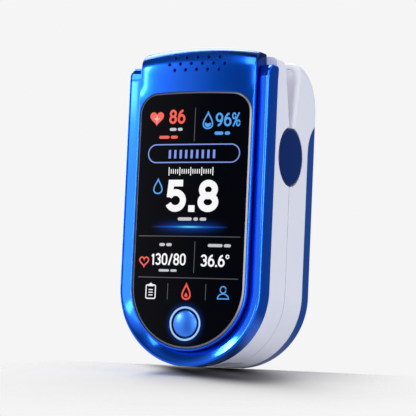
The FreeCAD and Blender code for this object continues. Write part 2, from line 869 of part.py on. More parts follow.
def make_rear_shell():
    outer = rear_outer()
    mouth = mouth_block(front_depth - beyond, floor_face)
    body = outer.cut([rear_hollow(), mouth, notch_rod(), squeeze_rear(), cover_zone(cover_gap), foot_tool()])
    body = round_gap_edges(body, v_rear_round, front_depth + v_apex_rear, v_rear_slope, shell_top)
    mid_wall = rear_block(shell_wall / 2, end_wall / 2, cover_wall / 2, front_depth)
    posts = [post.common(behind_plate()).common(mid_wall) for post in post_rods(post_radius, floor_face, depth)]
    body = body.fuse(posts).removeSplitter().cut(tab_blocks(tab_fit))
    return body.cut(post_rods(screw_radius + screw_fit, floor_face, screw_seat() + screw_length + screw_radius))


def rear_ear():
    arm = box(rear_ear_inner, rear_ear_outer, pivot_depth, floor_back,
              pivot_height - rear_ear_radius, pivot_height + rear_ear_radius)
    knuckle = rod(rear_ear_radius, Vector(rear_ear_inner, pivot_depth, pivot_height),
                  Vector(rear_ear_outer, pivot_depth, pivot_height))
    knuckle = knuckle.common(box(rear_ear_inner, rear_ear_outer, 0, floor_back, 0, body_top))
    bore = rod(pin_radius, Vector(rear_ear_inner - beyond, pivot_depth, pivot_height),
               Vector(rear_ear_outer + beyond, pivot_depth, pivot_height))
    return arm.fuse(knuckle).removeSplitter().cut(bore)


def make_rear_inner_frame():
    well_outer = well_half_width + well_wall
    slope_low = frame_slope_low
    slope_low_d = plate_depth(slope_low)
    inside = rear_block(shell_wall + frame_fit, end_wall + frame_fit, cover_wall, 0)
    floor = box(-inner_half_width, inner_half_width, floor_face, floor_back, 0, slope_low)
    high = shell_top
    slope = side_prism([(slope_low_d, slope_low), (plate_depth(high), high),
                        (plate_depth(high) + frame_plate, high), (slope_low_d + frame_plate, slope_low)],
                       inner_half_width)
    step = box(-inner_half_width, inner_half_width, min(floor_face, slope_low_d),
               max(floor_back, slope_low_d + frame_plate), slope_low - well_end, slope_low)
    well = box(-well_outer, well_outer, floor_face, cell_depth, well_low - well_end, well_top + well_end)
    well = well.cut(box(-well_half_width, well_half_width, floor_back, cell_depth + beyond, well_low, well_top))
    ribs = both_sides(box(emitter_board_half_width + rib_gap, emitter_board_half_width + rib_gap + rib_thickness,
                          floor_face, emitter_back, eye_height - eye_half_height,
                          eye_height + eye_half_height + emitter_board_rise))
    body = floor.fuse([slope, step, well] + ribs).common(inside)
    side = box(rear_ear_outer + ear_gap / 2, rim_half_width, floor_face - beyond, depth,
               pivot_height - notch_radius - cap_clearance, pivot_height + notch_radius + cap_clearance)
    body = body.cut(both_sides(side)).fuse(both_sides(rear_ear()) + tab_blocks(0)).removeSplitter()
    body = body.cut([eye_block(eye_fit, 0, floor_back), ribbon_slot_block(0, floor_back + beyond)])
    body = body.cut(post_rods(screw_radius + screw_hole_play, 0, screw_seat() + beyond))
    return body.cut(post_rods(screw_head_radius + screw_head_play, 0, screw_seat()))


def make_rear_screws():
    head_front = screw_seat() - screw_head
    places = mirrored_places([rear_screw_place])
    return Part.makeCompound([make_screw(x, z, head_front, 1) for x, z in places])


def make_rear_finger_pad():
    half = pad_half_width
    body = box(-half, half, floor_face - rear_pad_rise, floor_face, pad_low, pad_top)
    groove_axis = floor_face - rear_pad_thickness - finger_radius
    groove = rod(finger_radius, Vector(0, groove_axis, pad_low - beyond), Vector(0, groove_axis, pad_top + beyond))
    return body.cut(groove).cut(eye_block(eye_fit, 0, depth))


def make_emitter_window():
    return eye_block(0, floor_face - rear_pad_thickness, floor_back)


def make_emitter_leds():
    # A red and an infrared chip, one above the other.
    half = emitter_board_half_width - rib_thickness
    chips = [box(-half, half, floor_back, led_back, z - half / 2, z + half / 2)
             for z in (eye_height - half, eye_height + half)]
    return Part.makeCompound(chips)


def make_emitter_board():
    return box(-emitter_board_half_width, emitter_board_half_width, led_back, emitter_back,
               eye_height - eye_half_height, eye_height + eye_half_height + emitter_board_rise)


def make_flex_cable():
    # Ribbon up the back of the emitter's board, then forward under the pivot to the socket.
    near = emitter_back
    far = near + ribbon_thickness
    low = eye_height
    under = ribbon_height - ribbon_thickness / 2
    over = ribbon_height + ribbon_thickness / 2
    tip = board_back + sensor_height
    inner_d = near - ribbon_bend
    inner_z = under - ribbon_bend
    slant_in = ribbon_bend * math.sqrt(0.5)
    slant_out = (ribbon_bend + ribbon_thickness) * math.sqrt(0.5)
    half = ribbon_width / 2

    def at(d, z):
        return Vector(-half, d, z)

    edges = [edge_line(at(near, low), at(near, inner_z)),
             edge_arc(at(near, inner_z), at(inner_d + slant_in, inner_z + slant_in), at(inner_d, under)),
             edge_line(at(inner_d, under), at(tip, under)),
             edge_line(at(tip, under), at(tip, over)),
             edge_line(at(tip, over), at(inner_d, over)),
             edge_arc(at(inner_d, over), at(inner_d + slant_out, inner_z + slant_out), at(far, inner_z)),
             edge_line(at(far, inner_z), at(far, low)),
             edge_line(at(far, low), at(near, low))]
    return Part.Face(Part.Wire(edges)).extrude(Vector(ribbon_width, 0, 0))


def make_cell(x, low, nub_up):
    body_low = low if nub_up else low + cell_nub
    nub_low = low + cell_length - cell_nub if nub_up else low
    can_length = cell_length - cell_nub
    can = Part.makeCylinder(cell_radius, can_length, Vector(x, cell_depth, body_low), Vector(0, 0, 1))
    nub = Part.makeCylinder(cell_nub_radius, cell_nub, Vector(x, cell_depth, nub_low), Vector(0, 0, 1))
    return can.fuse(nub).removeSplitter()


def make_contact_spring(x, low, grow_up):
    # Conical spring: its wide end lies on the contact sheet and its narrow end on the cell.
    sign = 1 if grow_up else -1
    climb = contact_spring_height - contact_wire
    narrow = contact_spring_outer - contact_spring_inner

    def place(turn):
        share = turn / contact_turns
        angle = 2 * math.pi * turn
        radius = contact_spring_outer - narrow * share
        return Vector(x + radius * math.cos(angle), cell_depth + radius * math.sin(angle),
                      low + sign * (contact_wire / 2 + climb * share))

    def way(turn):
        share = turn / contact_turns
        angle = 2 * math.pi * turn
        radius = contact_spring_outer - narrow * share
        inward = -narrow / contact_turns
        around = 2 * math.pi * radius
        course = Vector(inward * math.cos(angle) - around * math.sin(angle),
                        inward * math.sin(angle) + around * math.cos(angle), sign * climb / contact_turns)
        return course.normalize()

    print("contact spring, least gap", turn_gap(place, 0, contact_turns, contact_wire))
    return wire_tube(helix_edges(place, way, 0, contact_turns), contact_wire / 2)


def contact_sheet_block(x0, x1, low):
    return box(x0 - contact_half_width, x1 + contact_half_width, cell_depth - contact_half_width,
               cell_depth + contact_half_width, low, low + contact_sheet)


lower_sheet_top = well_low + contact_sheet
upper_sheet_low = well_top - contact_sheet


def make_cell_bridge():
    return contact_sheet_block(-cell_offset, cell_offset, well_low)


def make_positive_terminal():
    return contact_sheet_block(-cell_offset, -cell_offset, upper_sheet_low)


def make_negative_terminal():
    return contact_sheet_block(cell_offset, cell_offset, upper_sheet_low)


def make_battery_cover():
    body = rear_outer().common(cover_zone(0)).cut([rear_hollow(), foot_tool()])
    lip_inner = inner_half_width - lip_fit - lip_thickness
    lip_top = cover_top - cover_corner - lip_drop
    lip_low = round_height + lip_rise
    root = box(lip_inner, inner_half_width + shell_wall / 2, cover_edge_depth, cover_edge_depth + lip_reach,
               lip_low, lip_top)
    tongue = box(lip_inner, inner_half_width - lip_fit, cover_edge_depth - lip_reach,
                 cover_edge_depth + lip_reach, lip_low, lip_top)
    return body.fuse(both_sides(root) + both_sides(tongue)).removeSplitter()


def make_cell_pad():
    across = cell_offset - foam_half_width
    valley = cell_depth + math.sqrt(cell_radius ** 2 - across ** 2)
    return box(-foam_half_width, foam_half_width, valley + foam_cell_gap, cover_face,
               well_low + foam_rise, well_top - foam_drop)


def make_all():
    spring_right, spring_left = both_sides(make_hinge_spring())
    cap_right, cap_left = both_sides(make_hinge_cap())
    left_low = lower_sheet_top + contact_spring_height
    return {
        "front_cover": make_front_cover(),
        "rim_frame": make_rim_frame(),
        "display_lens": make_display_lens(),
        "button_light_ring": make_button_light_ring(),
        "display_module": make_display_module(),
        "main_board": make_main_board(),
        "board_chips": make_board_chips(),
        "sounder": make_sounder(),
        "power_switch": make_power_switch(),
        "light_sensor": make_light_sensor(),
        "sensor_window": make_sensor_window(),
        "flex_socket": make_flex_socket(),
        "front_shell": make_front_shell(),
        "front_finger_pad": make_front_finger_pad(),
        "front_screws": make_front_screws(),
        "hinge_cap_left": cap_left,
        "hinge_cap_right": cap_right,
        "power_button": make_power_button(),
        "switch_plunger": make_switch_plunger(),
        "rear_shell": make_rear_shell(),
        "rear_inner_frame": make_rear_inner_frame(),
        "rear_finger_pad": make_rear_finger_pad(),
        "rear_screws": make_rear_screws(),
        "emitter_window": make_emitter_window(),
        "emitter_leds": make_emitter_leds(),
        "emitter_board": make_emitter_board(),
        "flex_cable": make_flex_cable(),
        "battery_cell_left": make_cell(-cell_offset, left_low, True),
        "battery_cell_right": make_cell(cell_offset, lower_sheet_top, False),
        "cell_bridge": make_cell_bridge(),
        "lower_cell_spring": make_contact_spring(-cell_offset, lower_sheet_top, True),
        "positive_terminal": make_positive_terminal(),
        "negative_terminal": make_negative_terminal(),
        "upper_cell_spring": make_contact_spring(cell_offset, upper_sheet_low, False),
        "hinge_pin": make_hinge_pin(),
        "hinge_spring_left": spring_left,
        "hinge_spring_right": spring_right,
        "battery_cover": make_battery_cover(),
        "cell_pad": make_cell_pad(),
    }


os.makedirs("parts", exist_ok=True)
for node, shape in make_all().items():
    placed = shape.translated(frame_shift)
    placed.exportStep("parts/" + node + ".step")
    print(node, len(placed.Solids), "solid, valid", placed.isValid(), "volume", round(placed.Volume, 2))
print("pivot", round(pivot_depth + frame_shift.y, 4), round(pivot_height, 4))
print("cell", 2 * cell_radius, "x", round(cell_length, 3))
print("depth", round(depth, 3), "width", 2 * rim_half_width, "height", body_top)
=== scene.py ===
import math
import bmesh
import bpy
import numpy as np
from mathutils import Matrix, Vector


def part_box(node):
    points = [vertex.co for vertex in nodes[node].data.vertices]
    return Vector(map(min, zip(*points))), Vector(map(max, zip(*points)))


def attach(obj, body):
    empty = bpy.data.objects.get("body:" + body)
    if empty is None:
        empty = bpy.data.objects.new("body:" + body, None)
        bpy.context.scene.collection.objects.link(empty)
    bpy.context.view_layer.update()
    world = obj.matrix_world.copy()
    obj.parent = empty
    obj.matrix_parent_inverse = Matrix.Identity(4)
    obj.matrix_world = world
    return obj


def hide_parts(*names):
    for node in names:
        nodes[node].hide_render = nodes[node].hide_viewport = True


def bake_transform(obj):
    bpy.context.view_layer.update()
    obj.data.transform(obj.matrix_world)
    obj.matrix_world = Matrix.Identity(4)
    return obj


# Finger-clip meter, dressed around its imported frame. Lengths below are millimetres, meshes are metres.
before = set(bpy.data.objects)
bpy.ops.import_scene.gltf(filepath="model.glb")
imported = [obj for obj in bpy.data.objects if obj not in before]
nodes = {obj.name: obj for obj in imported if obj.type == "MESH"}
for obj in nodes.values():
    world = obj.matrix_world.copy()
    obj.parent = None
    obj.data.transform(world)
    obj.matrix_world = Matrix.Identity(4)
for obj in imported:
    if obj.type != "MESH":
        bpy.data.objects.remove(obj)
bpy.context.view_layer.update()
mm = 0.001


def boxOf(node):
    low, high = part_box(node)
    return np.array(low) / mm, np.array(high) / mm


coverLow, coverHigh = boxOf("front_cover")
rimLow, rimHigh = boxOf("rim_frame")
lensLow, lensHigh = boxOf("display_lens")
ringLow, ringHigh = boxOf("button_light_ring")
frontY = coverLow[1]                       # face of the cover; depths run back from here
buttonZ = (ringLow[2] + ringHigh[2]) / 2
ringRadius = (ringHigh[0] - ringLow[0]) / 2
coverBack = coverHigh[1] - frontY
print("frame: front face at y", round(frontY, 3), "cover depth", round(coverBack, 3))


# Shader maths: wraps a socket, so that an expression on it adds Math nodes
class Wire:
    def __init__(self, tree, out=None):
        self.tree = tree
        self.out = out

    def make(self, kind, links=None, output=0, **settings):
        made = self.tree.nodes.new("ShaderNode" + kind)
        for key, value in settings.items():
            setattr(made, key, value)
        for key, value in (links or {}).items():
            if isinstance(value, Wire):
                self.tree.links.new(value.out, made.inputs[key])
            else:
                made.inputs[key].default_value = value
        return Wire(self.tree, made.outputs[output])

    def end(self, kind):
        out = self.tree.nodes.new("ShaderNodeOutput" + kind)
        self.tree.links.new(self.out, out.inputs["Surface"])

    def maths(self, operation, a, b=0.0):
        return self.make("Math", {0: a, 1: b}, operation=operation)

    def __add__(self, other):
        return self.maths("ADD", self, other)

    def __sub__(self, other):
        return self.maths("SUBTRACT", self, other)

    def __rsub__(self, other):
        return self.maths("SUBTRACT", other, self)

    def __mul__(self, other):
        return self.maths("MULTIPLY", self, other)

    def __truediv__(self, other):
        return self.maths("DIVIDE", self, other)

    def __pow__(self, other):
        return self.maths("POWER", self, other)

    __radd__ = __add__

    def clamp(self):
        return self.make("Clamp", {"Value": self})

    def ramp(self, start, over):
        return ((self - start) / over).clamp()                 # 0 up to start, then rises to 1

    def bell(self):
        return self.maths("EXPONENT", self * self * -1.0)      # e to the minus square

    def mix(self, a, b):
        return self.make("Mix", {"Factor": self, "A": a, "B": b}, "Result", data_type="RGBA")


def rgb(red, green, blue):
    return (red, green, blue, 1.0)


materials = {}                             # by the name given here; the frame has some of the same names


# A material with a Principled shader; look(wire) returns the sockets that change over the surface
def newMaterial(name, fixed, look):
    material = bpy.data.materials.new(name)
    material.use_nodes = True
    material.cycles.emission_sampling = "NONE"  # lit marks are seen, the lamps do the lighting
    tree = material.node_tree
    shader = tree.nodes["Principled BSDF"]
    for key, value in fixed.items():
        shader.inputs[key].default_value = value
    for key, wire in look(Wire(tree).make("TexCoord", output="Object")).items():
        tree.links.new(wire.out, shader.inputs[key])
    materials[name] = material


def noise(wire, size, detail=2.0):
    return wire.make("TexNoise", {"Vector": wire, "Scale": 1 / (size * mm), "Detail": detail})


def bump(wire, height, depth):
    return wire.make("Bump", {"Height": height, "Distance": depth * mm, "Strength": 1.0}, "Normal")


def axes(wire):
    return [wire.make("SeparateXYZ", {0: wire}, i) / mm for i in range(3)]


# Moulded or lacquered surface: fine grain in the relief, slow drift in tone and gloss
def finishLook(dark, light, rough, drift=6.0, grain=0.25, relief=0.004, wear=0.05):
    def look(wire):
        slow = noise(wire, drift)
        fine = noise(wire, grain, 3.0)
        return {"Base Color": slow.mix(rgb(*dark), rgb(*light)),
                "Roughness": rough - wear / 2 + slow * (wear * 0.6) + fine * (wear * 0.4),
                "Normal": bump(wire, fine, relief)}
    return look


# The skirt tone, with where it starts and how far it spreads, is painted shade on the cover's walls behind its
# face
lacquer = {"metallic": 0.9, "dark": (0.003, 0.115, 0.81), "light": (0.004, 0.135, 0.89), "relief": 0.0015,
           "coverRough": 0.20, "rimRough": 0.09, "coverTint": (0.6, 0.75, 1.0), "rimTint": (0.8, 0.9, 1.0),
           "skirt": (0.001, 0.028, 0.2), "skirtShadeFrom": 0.75, "skirtShadeOver": 0.5,
           "coat": 0.3, "coatLeft": 0.03, "sideOver": 0.3, "wallFrom": 1.75, "wallOver": 0.4}


# Lacquer under a gloss coat that thins out where bare comes to 1
def lacquerLook(wire, rough, bare):
    sockets = finishLook(lacquer["dark"], lacquer["light"], rough, relief=lacquer["relief"])(wire)
    sockets["Coat Weight"] = lacquer["coat"] - bare * (lacquer["coat"] - lacquer["coatLeft"])
    return sockets


# The cover's lacquer colour has painted shade on its skirt, behind the face, and has less gloss coat on its sides
def coverLook(wire):
    x, y, z = axes(wire)
    side = wire.maths("ABSOLUTE", x).ramp(coverHigh[0] - lacquer["sideOver"], lacquer["sideOver"])
    sockets = lacquerLook(wire, lacquer["coverRough"], side)
    # Painted shade: the colour darkens to the skirt tone behind the face
    deep = y.ramp(frontY + lacquer["skirtShadeFrom"], lacquer["skirtShadeOver"])
    sockets["Base Color"] = deep.mix(sockets["Base Color"], rgb(*lacquer["skirt"]))
    return sockets


# The rim's gloss coat ends on its outer wall
def rimLook(wire):
    wall = axes(wire)[1].ramp(frontY + lacquer["wallFrom"], lacquer["wallOver"])
    return lacquerLook(wire, lacquer["rimRough"], wall)


for name, look in (("cover", coverLook), ("rim", rimLook)):
    newMaterial(name + "Blue", {"Metallic": lacquer["metallic"], "Coat Roughness": 0.05, "Coat IOR": 1.5,
                                "Specular Tint": rgb(*lacquer[name + "Tint"])}, look)

# Plain finishes: two tones that drift into each other, roughness, sizes of the grain, fixed sockets
plainFinishes = {
    "shellWhite": ((0.77, 0.78, 0.90), (0.80, 0.81, 0.92), 0.42, {"relief": 0.005},
                   {"Coat Weight": 0.15, "Coat Roughness": 0.2, "Specular IOR Level": 0.4}),
    "capNavy": ((0.0, 0.010, 0.105), (0.0, 0.014, 0.13), 0.36, {"grain": 0.18},
                {"Coat Weight": 0.04, "Coat Roughness": 0.15, "Specular IOR Level": 0.15}),
    "rearBlue": ((0.004, 0.042, 0.25), (0.006, 0.050, 0.29), 0.34, {},
                 {"Coat Weight": 0.05, "Coat Roughness": 0.15, "Specular IOR Level": 0.2}),
    "buttonBlue": ((0.02, 0.19, 0.86), (0.03, 0.22, 0.95), 0.3, {"relief": 0.001},
                   {"Coat Weight": 0.5, "Coat Roughness": 0.2, "Metallic": 0.7}),
    "screenEdge": ((0.17, 0.16, 0.18), (0.22, 0.21, 0.23), 0.42, {"relief": 0.001}, {"Metallic": 0.6}),
    "silicone": ((0.025, 0.035, 0.085), (0.035, 0.05, 0.11), 0.62, {"grain": 0.2, "relief": 0.012},
                 {"Specular IOR Level": 0.35, "Sheen Weight": 0.15}),
    "foamGrey": ((0.035, 0.035, 0.04), (0.07, 0.07, 0.075), 0.9,
                 {"drift": 1.2, "grain": 0.35, "relief": 0.12}, {"Specular IOR Level": 0.2}),
    "blackParts": ((0.012, 0.012, 0.014), (0.022, 0.022, 0.025), 0.5, {"relief": 0.01}, {}),
    "nickel": ((0.66, 0.64, 0.58), (0.76, 0.74, 0.69), 0.22, {"drift": 2.0}, {"Metallic": 1.0}),
    "steel": ((0.50, 0.50, 0.52), (0.62, 0.62, 0.64), 0.28, {"drift": 2.0}, {"Metallic": 1.0}),
    "ribbonFilm": ((0.50, 0.20, 0.02), (0.62, 0.28, 0.04), 0.34, {"drift": 1.5}, {}),
    "clearWindow": ((0.55, 0.06, 0.06), (0.62, 0.09, 0.08), 0.12, {"relief": 0.0},
                    {"Transmission Weight": 0.7, "IOR": 1.49}),
    "moduleGlass": ((0.012, 0.013, 0.02), (0.018, 0.019, 0.028), 0.18, {"relief": 0.0}, {"Coat Weight": 1.0}),
    "ringSide": ((0.0, 0.006, 0.05), (0.0, 0.010, 0.07), 0.35, {"relief": 0.001}, {"Specular IOR Level": 0.3}),
}
for name, (dark, light, rough, grain, fixed) in plainFinishes.items():
    newMaterial(name, fixed, finishLook(dark, light, rough, **grain))

board = {"across": 5.2, "up": 3.1, "trackFrom": 0.55, "trackSharp": 8.0, "relief": 0.03,
         "mask": (0.008, 0.085, 0.035), "track": (0.03, 0.20, 0.085), "rough": 0.42, "trackGloss": 0.1}


# Circuit board: solder mask with fine tracks, a band pattern cut into short lengths
def boardLook(wire):
    x, y, z = axes(wire)
    tracks = wire.maths("SINE", x * board["across"]) * wire.maths("SINE", z * board["up"])
    line = ((tracks - board["trackFrom"]) * board["trackSharp"]).clamp()
    return {"Base Color": line.mix(rgb(*board["mask"]), rgb(*board["track"])),
            "Roughness": board["rough"] - line * board["trackGloss"],
            "Normal": bump(wire, line, board["relief"])}


cell = {"bandFrom": 20.0, "bandTo": 38.0, "bandSharp": 6.0, "film": (0.62, 0.63, 0.65), "band": (0.07, 0.26, 0.17)}


# Wrap of a cell: plain silver film with a broad muted green band about its middle
def cellLook(wire):
    z = axes(wire)[2]
    above, past = [((z - cell[end]) * cell["bandSharp"]).clamp() for end in ("bandFrom", "bandTo")]
    band = above - past
    return {"Base Color": band.mix(rgb(*cell["film"]), rgb(*cell["band"])),
            "Roughness": 0.3 + noise(wire, 0.3) * 0.05, "Metallic": 0.8 - band * 0.7}


glow = {"ringRadius": 3.3, "ringSpread": 0.75, "ringShare": 0.16, "lineZ": 28.38, "lineHalf": 8.9,
        "lineThin": 0.16, "thinShare": 0.9, "lineSoft": 0.95, "softShare": 0.35, "coreHalf": 2.2,
        "lineColour": (0.01, 0.10, 0.62), "coreColour": (0.10, 0.75, 1.0)}


# Black cover glass; the light behind it glows round the button and along one line of the screen
def glassLook(wire):
    x, y, z = axes(wire)
    fromButton = (x * x + (z - buttonZ) * (z - buttonZ)) ** 0.5
    halo = ((fromButton - glow["ringRadius"]) / glow["ringSpread"]).bell()
    across = x / glow["lineHalf"]
    along = (1.0 - across * across).clamp()
    up = z - glow["lineZ"]
    thin = (up / glow["lineThin"]).bell() * along
    soft = (up / glow["lineSoft"]).bell() * along * along * glow["softShare"]
    core = (x / glow["coreHalf"]).bell() * thin
    lit = (halo * glow["ringShare"] + thin * glow["thinShare"] + soft).clamp()
    colour = lit.mix(rgb(0, 0, 0), rgb(*glow["lineColour"]))
    smear = noise(wire, 9.0)
    return {"Base Color": smear.mix(rgb(0.0012, 0.0014, 0.003), rgb(0.002, 0.0023, 0.0045)),
            "Emission Color": core.mix(colour, rgb(*glow["coreColour"])), "Roughness": 0.10 + smear * 0.05}


newMaterial("boardGreen", {}, boardLook)
newMaterial("cellWrap", {"Coat Weight": 0.4}, cellLook)
newMaterial("screenGlass", {"Emission Strength": 1.0, "Specular IOR Level": 0.05}, glassLook)

# Lit marks of the screen and the ring: the tone drifts slightly, as on a real panel
litTones = {"litWhite": (0.95, 0.95, 0.97), "litRed": (0.95, 0.085, 0.05), "litBlue": (0.07, 0.36, 0.90),
            "litLilac": (0.20, 0.30, 0.82), "litGrey": (0.075, 0.075, 0.085), "litPale": (0.55, 0.56, 0.60),
            "ringGlow": (0.36, 0.58, 0.95)}
litDrift, litDim = 1.5, 0.9


def litLook(tone):
    def look(wire):
        return {"Emission Color": noise(wire, litDrift).mix(rgb(*(c * litDim for c in tone)), rgb(*tone))}
    return look


for name, tone in litTones.items():
    newMaterial(name, {"Base Color": rgb(0, 0, 0), "Emission Strength": 1.0, "Roughness": 0.3}, litLook(tone))
print("materials:", len(materials))


# Stacks coordinates, single numbers too, into points
def columns(*parts):
    return np.stack(np.broadcast_arrays(*parts), -1)


def unit(vectors):
    return vectors / np.linalg.norm(vectors, axis=-1, keepdims=True)


def smoothStep(t):
    t = np.clip(t, 0, 1)
    return t ** 2 * (3 - 2 * t)


# Quads between neighbours of a grid; a closed way joins its last line to its first
def gridFaces(rows, cols, closeRows=False, closeCols=False):
    r, c = np.meshgrid(np.arange(rows if closeRows else rows - 1),
                       np.arange(cols if closeCols else cols - 1), indexing="ij")
    r2, c2 = (r + 1) % rows, (c + 1) % cols
    return columns(r * cols + c, r * cols + c2, r2 * cols + c2, r2 * cols + c).reshape(-1, 4)


def smooth(mesh, sharp=35.0):
    mesh.shade_smooth()
    mesh.set_sharp_from_angle(angle=math.radians(sharp))


# Puts points (mm) and faces into a mesh, merges its poles and turns its faces outwards
def newMesh(name, points, faces, sharp=35.0, solid=True):
    mesh = bpy.data.meshes.new(name)
    mesh.from_pydata((np.asarray(points) * mm).tolist(), [], [list(map(int, f)) for f in faces])
    if solid:
        work = bmesh.new()
        work.from_mesh(mesh)
        bmesh.ops.remove_doubles(work, verts=work.verts, dist=1e-7)
        bmesh.ops.recalc_face_normals(work, faces=work.faces)
        work.to_mesh(mesh)
        work.free()
    smooth(mesh, sharp)
    mesh.update()
    return mesh


# A tube of closed rings, with a face over each end
def newTube(name, rings):
    rings = np.asarray(rings)
    count, size = rings.shape[:2]
    faces = gridFaces(count, size, closeCols=True).tolist()
    faces += [list(range(size)), list(range((count - 1) * size, count * size))]
    return newMesh(name, rings.reshape(-1, 3), faces)


def newThing(name, data):
    thing = bpy.data.objects.new(name, data)
    bpy.context.scene.collection.objects.link(thing)
    return thing


def addPiece(name, mesh, body, finishes, stands=(), bend=None):
    piece = newThing(name, mesh)
    for finish in finishes:
        piece.data.materials.append(materials[finish])
    if bend:
        other, start, end = bend
        tuple(start * mm)
        tuple(end * mm)
        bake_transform(piece)
    else:
        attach(piece, body)
    if stands:
        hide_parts(*stands)
    return piece


# Takes a cutter's volume out of a mesh and drops the cutter
def cutMesh(mesh, cutter):
    host, tool = newThing("host", mesh), newThing("tool", cutter)
    cut = host.modifiers.new("cut", "BOOLEAN")
    cut.operation = "DIFFERENCE"
    cut.solver = "EXACT"
    cut.object = tool
    graph = bpy.context.evaluated_depsgraph_get()
    made = bpy.data.meshes.new_from_object(host.evaluated_get(graph))
    for thing in (host, tool):
        bpy.data.objects.remove(thing)
    made.name = mesh.name
    smooth(made)
    return made


# Corner points joined by straight runs, each corner rounded by a quadratic curve of the given reach
def roundCorners(corners, reaches, steps=6, closed=True):
    corners = np.array(corners, float)
    before, after = np.roll(corners, 1, 0), np.roll(corners, -1, 0)
    t = np.linspace(0, 1, steps)[:, None]
    out = []
    for i, (p, a, b, r) in enumerate(zip(corners, before, after, reaches)):
        if r == 0 or (not closed and i in (0, len(corners) - 1)):
            out.append(p[None])
        else:
            start, end = p + unit(a - p) * r, p + unit(b - p) * r
            out.append((1 - t) ** 2 * start + 2 * t * (1 - t) * p + t ** 2 * end)
    return np.concatenate(out)


# A closed profile of (radius, along) turned about an axis; along runs from the centre in the axis direction
def lathe(profile, centre, axis, turns=96):
    a = np.linspace(0, 2 * np.pi, turns, endpoint=False)[:, None]
    radius, along = np.array(profile, float).T[:, None, :, None]
    u, v = np.roll(np.eye(3), 1, 0)[axis], np.roll(np.eye(3), 2, 0)[axis]
    rim = np.cos(a) * u + np.sin(a) * v
    points = np.array(centre) + radius * rim[:, None] + along * np.eye(3)[axis]
    return points.reshape(-1, 3), gridFaces(turns, len(profile), True, True)


# Points on a plane of (x, z) set at a depth behind the cover's face
def atDepth(xz, depth):
    return columns(xz[:, 0], frontY + depth, xz[:, 1])


def arcPoints(centre, radius, start, end, count):
    a = np.linspace(start, end, count, endpoint=False)
    way = columns(np.cos(a), np.sin(a))
    return np.array(centre) + radius * way, way


def sidePoints(x, low, high, count):
    return columns(x, np.linspace(low, high, count, endpoint=False)), np.tile([1.0, 0.0], (count, 1))


# Joins the right half of an outline, from its lowest to its highest point, to its mirror image
def wholeOutline(parts, top):
    points = np.concatenate([p for p, n in parts] + [np.array([[0.0, top]])])
    ways = np.concatenate([n for p, n in parts] + [np.array([[0.0, 1.0]])])
    return [np.concatenate([half, half[-2:0:-1] * [-1.0, 1.0]]) for half in (points, ways)]


# How many points or rows each stretch of the front's surfaces has
stations = {"arc": 56, "side": 36, "shoulder": 14, "corner": 14, "top": 40, "face": 44, "edge": 10, "glass": 30}
coverShape = {"half": coverHigh[0], "shoulder": 6.1, "shoulderInset": 0.15, "crown": 1.0, "corner": 0.5,
              "sideEdge": 0.36, "topEdge": 0.3, "sag": 0.45, "rollDepth": 2.4, "rollLength": 7.0, "rollPower": 6,
              "pillow": 0.25, "pillowOver": 4, "pillowPower": 10, "plate": 1.9, "ledge": 1.0, "ledgeReach": 1.5,
              "skirt": 1.2, "pocketFit": 0.08, "pocketEdge": 0.05, "leanStep": 0.02}
lensShape = {"half": lensHigh[0], "crown": 0.5, "corner": 4.3, "bevel": 0.36, "bevelDepth": 0.2,
             "thickness": 1.0, "holeFit": 0.05, "sharp": 25.0}


# Half-round lower end, straight sides, shoulders that lean in and an arched top with small corners
def coverOutline():
    s = coverShape
    half, low, top = s["half"], coverLow[2], coverHigh[2]
    bend = (s["shoulderInset"] ** 2 + s["shoulder"] ** 2) / (2 * s["shoulderInset"])
    arch = ((half - s["shoulderInset"]) ** 2 + s["crown"] ** 2) / (2 * s["crown"])
    shoulderZ = top - s["crown"] - s["shoulder"]
    sideCentre = np.array([half - bend, shoulderZ])
    archCentre = np.array([0.0, top - arch])
    r1, r2 = bend - s["corner"], arch - s["corner"]
    apart = archCentre - sideCentre
    gap = np.linalg.norm(apart)
    along = (r1 ** 2 - r2 ** 2 + gap ** 2) / (2 * gap)
    aside = math.sqrt(r1 ** 2 - along ** 2)
    across = np.array([-apart[1], apart[0]]) / gap
    corner = sideCentre + apart / gap * along + across * aside
    a1 = math.atan2(*(corner - sideCentre)[::-1])
    a2 = math.atan2(*(corner - archCentre)[::-1])
    return wholeOutline([arcPoints((0, low + half), half, -np.pi / 2, 0, stations["arc"]),
                         sidePoints(half, low + half, shoulderZ, stations["side"]),
                         arcPoints(sideCentre, bend, 0, a1, stations["shoulder"]),
                         arcPoints(corner, s["corner"], a1, a2, stations["corner"]),
                         arcPoints(archCentre, arch, a2, np.pi / 2, stations["top"])], top)


# Half-round lower end, straight sides, large upper corners and a slightly arched top; grow offsets it
def lensOutline(grow):
    s = lensShape
    half, low, top, corner = s["half"] + grow, lensLow[2] - grow, lensHigh[2] + grow, s["corner"] + grow
    arch = (half ** 2 + s["crown"] ** 2) / (2 * s["crown"])
    cornerZ = top - arch + math.sqrt((arch - corner) ** 2 - (half - corner) ** 2)
    turn = math.atan2(cornerZ - top + arch, half - corner)
    count = stations["shoulder"] + stations["corner"]
    return wholeOutline([arcPoints((0, low + half), half, -np.pi / 2, 0, stations["arc"]),
                         sidePoints(half, low + half, cornerZ, stations["side"]),
                         arcPoints((half - corner, cornerZ), corner, 0, turn, count),
                         arcPoints((0, top - arch), arch, turn, np.pi / 2, stations["top"])], top)


# Depth of the gently curved front: it falls back towards both sides
def sagDepth(x):
    return coverShape["sag"] * (np.asarray(x) / coverShape["half"]) ** 2


# The cover's face also rolls back towards its arched top, ever more steeply, and towards its upper sides
def faceDepth(xz):
    s = coverShape
    x, z = xz.T
    topZ = coverHigh[2] - s["crown"] * (x / (s["half"] - s["shoulderInset"])) ** 2
    up = np.clip((z - topZ) / s["rollLength"] + 1, 0, 1)
    above = smoothStep((z - lensHigh[2]) / s["pillowOver"] + 0.5)
    pillow = s["pillow"] * above * (x / s["half"]) ** s["pillowPower"]
    return sagDepth(x) + pillow + s["rollDepth"] * up ** s["rollPower"]


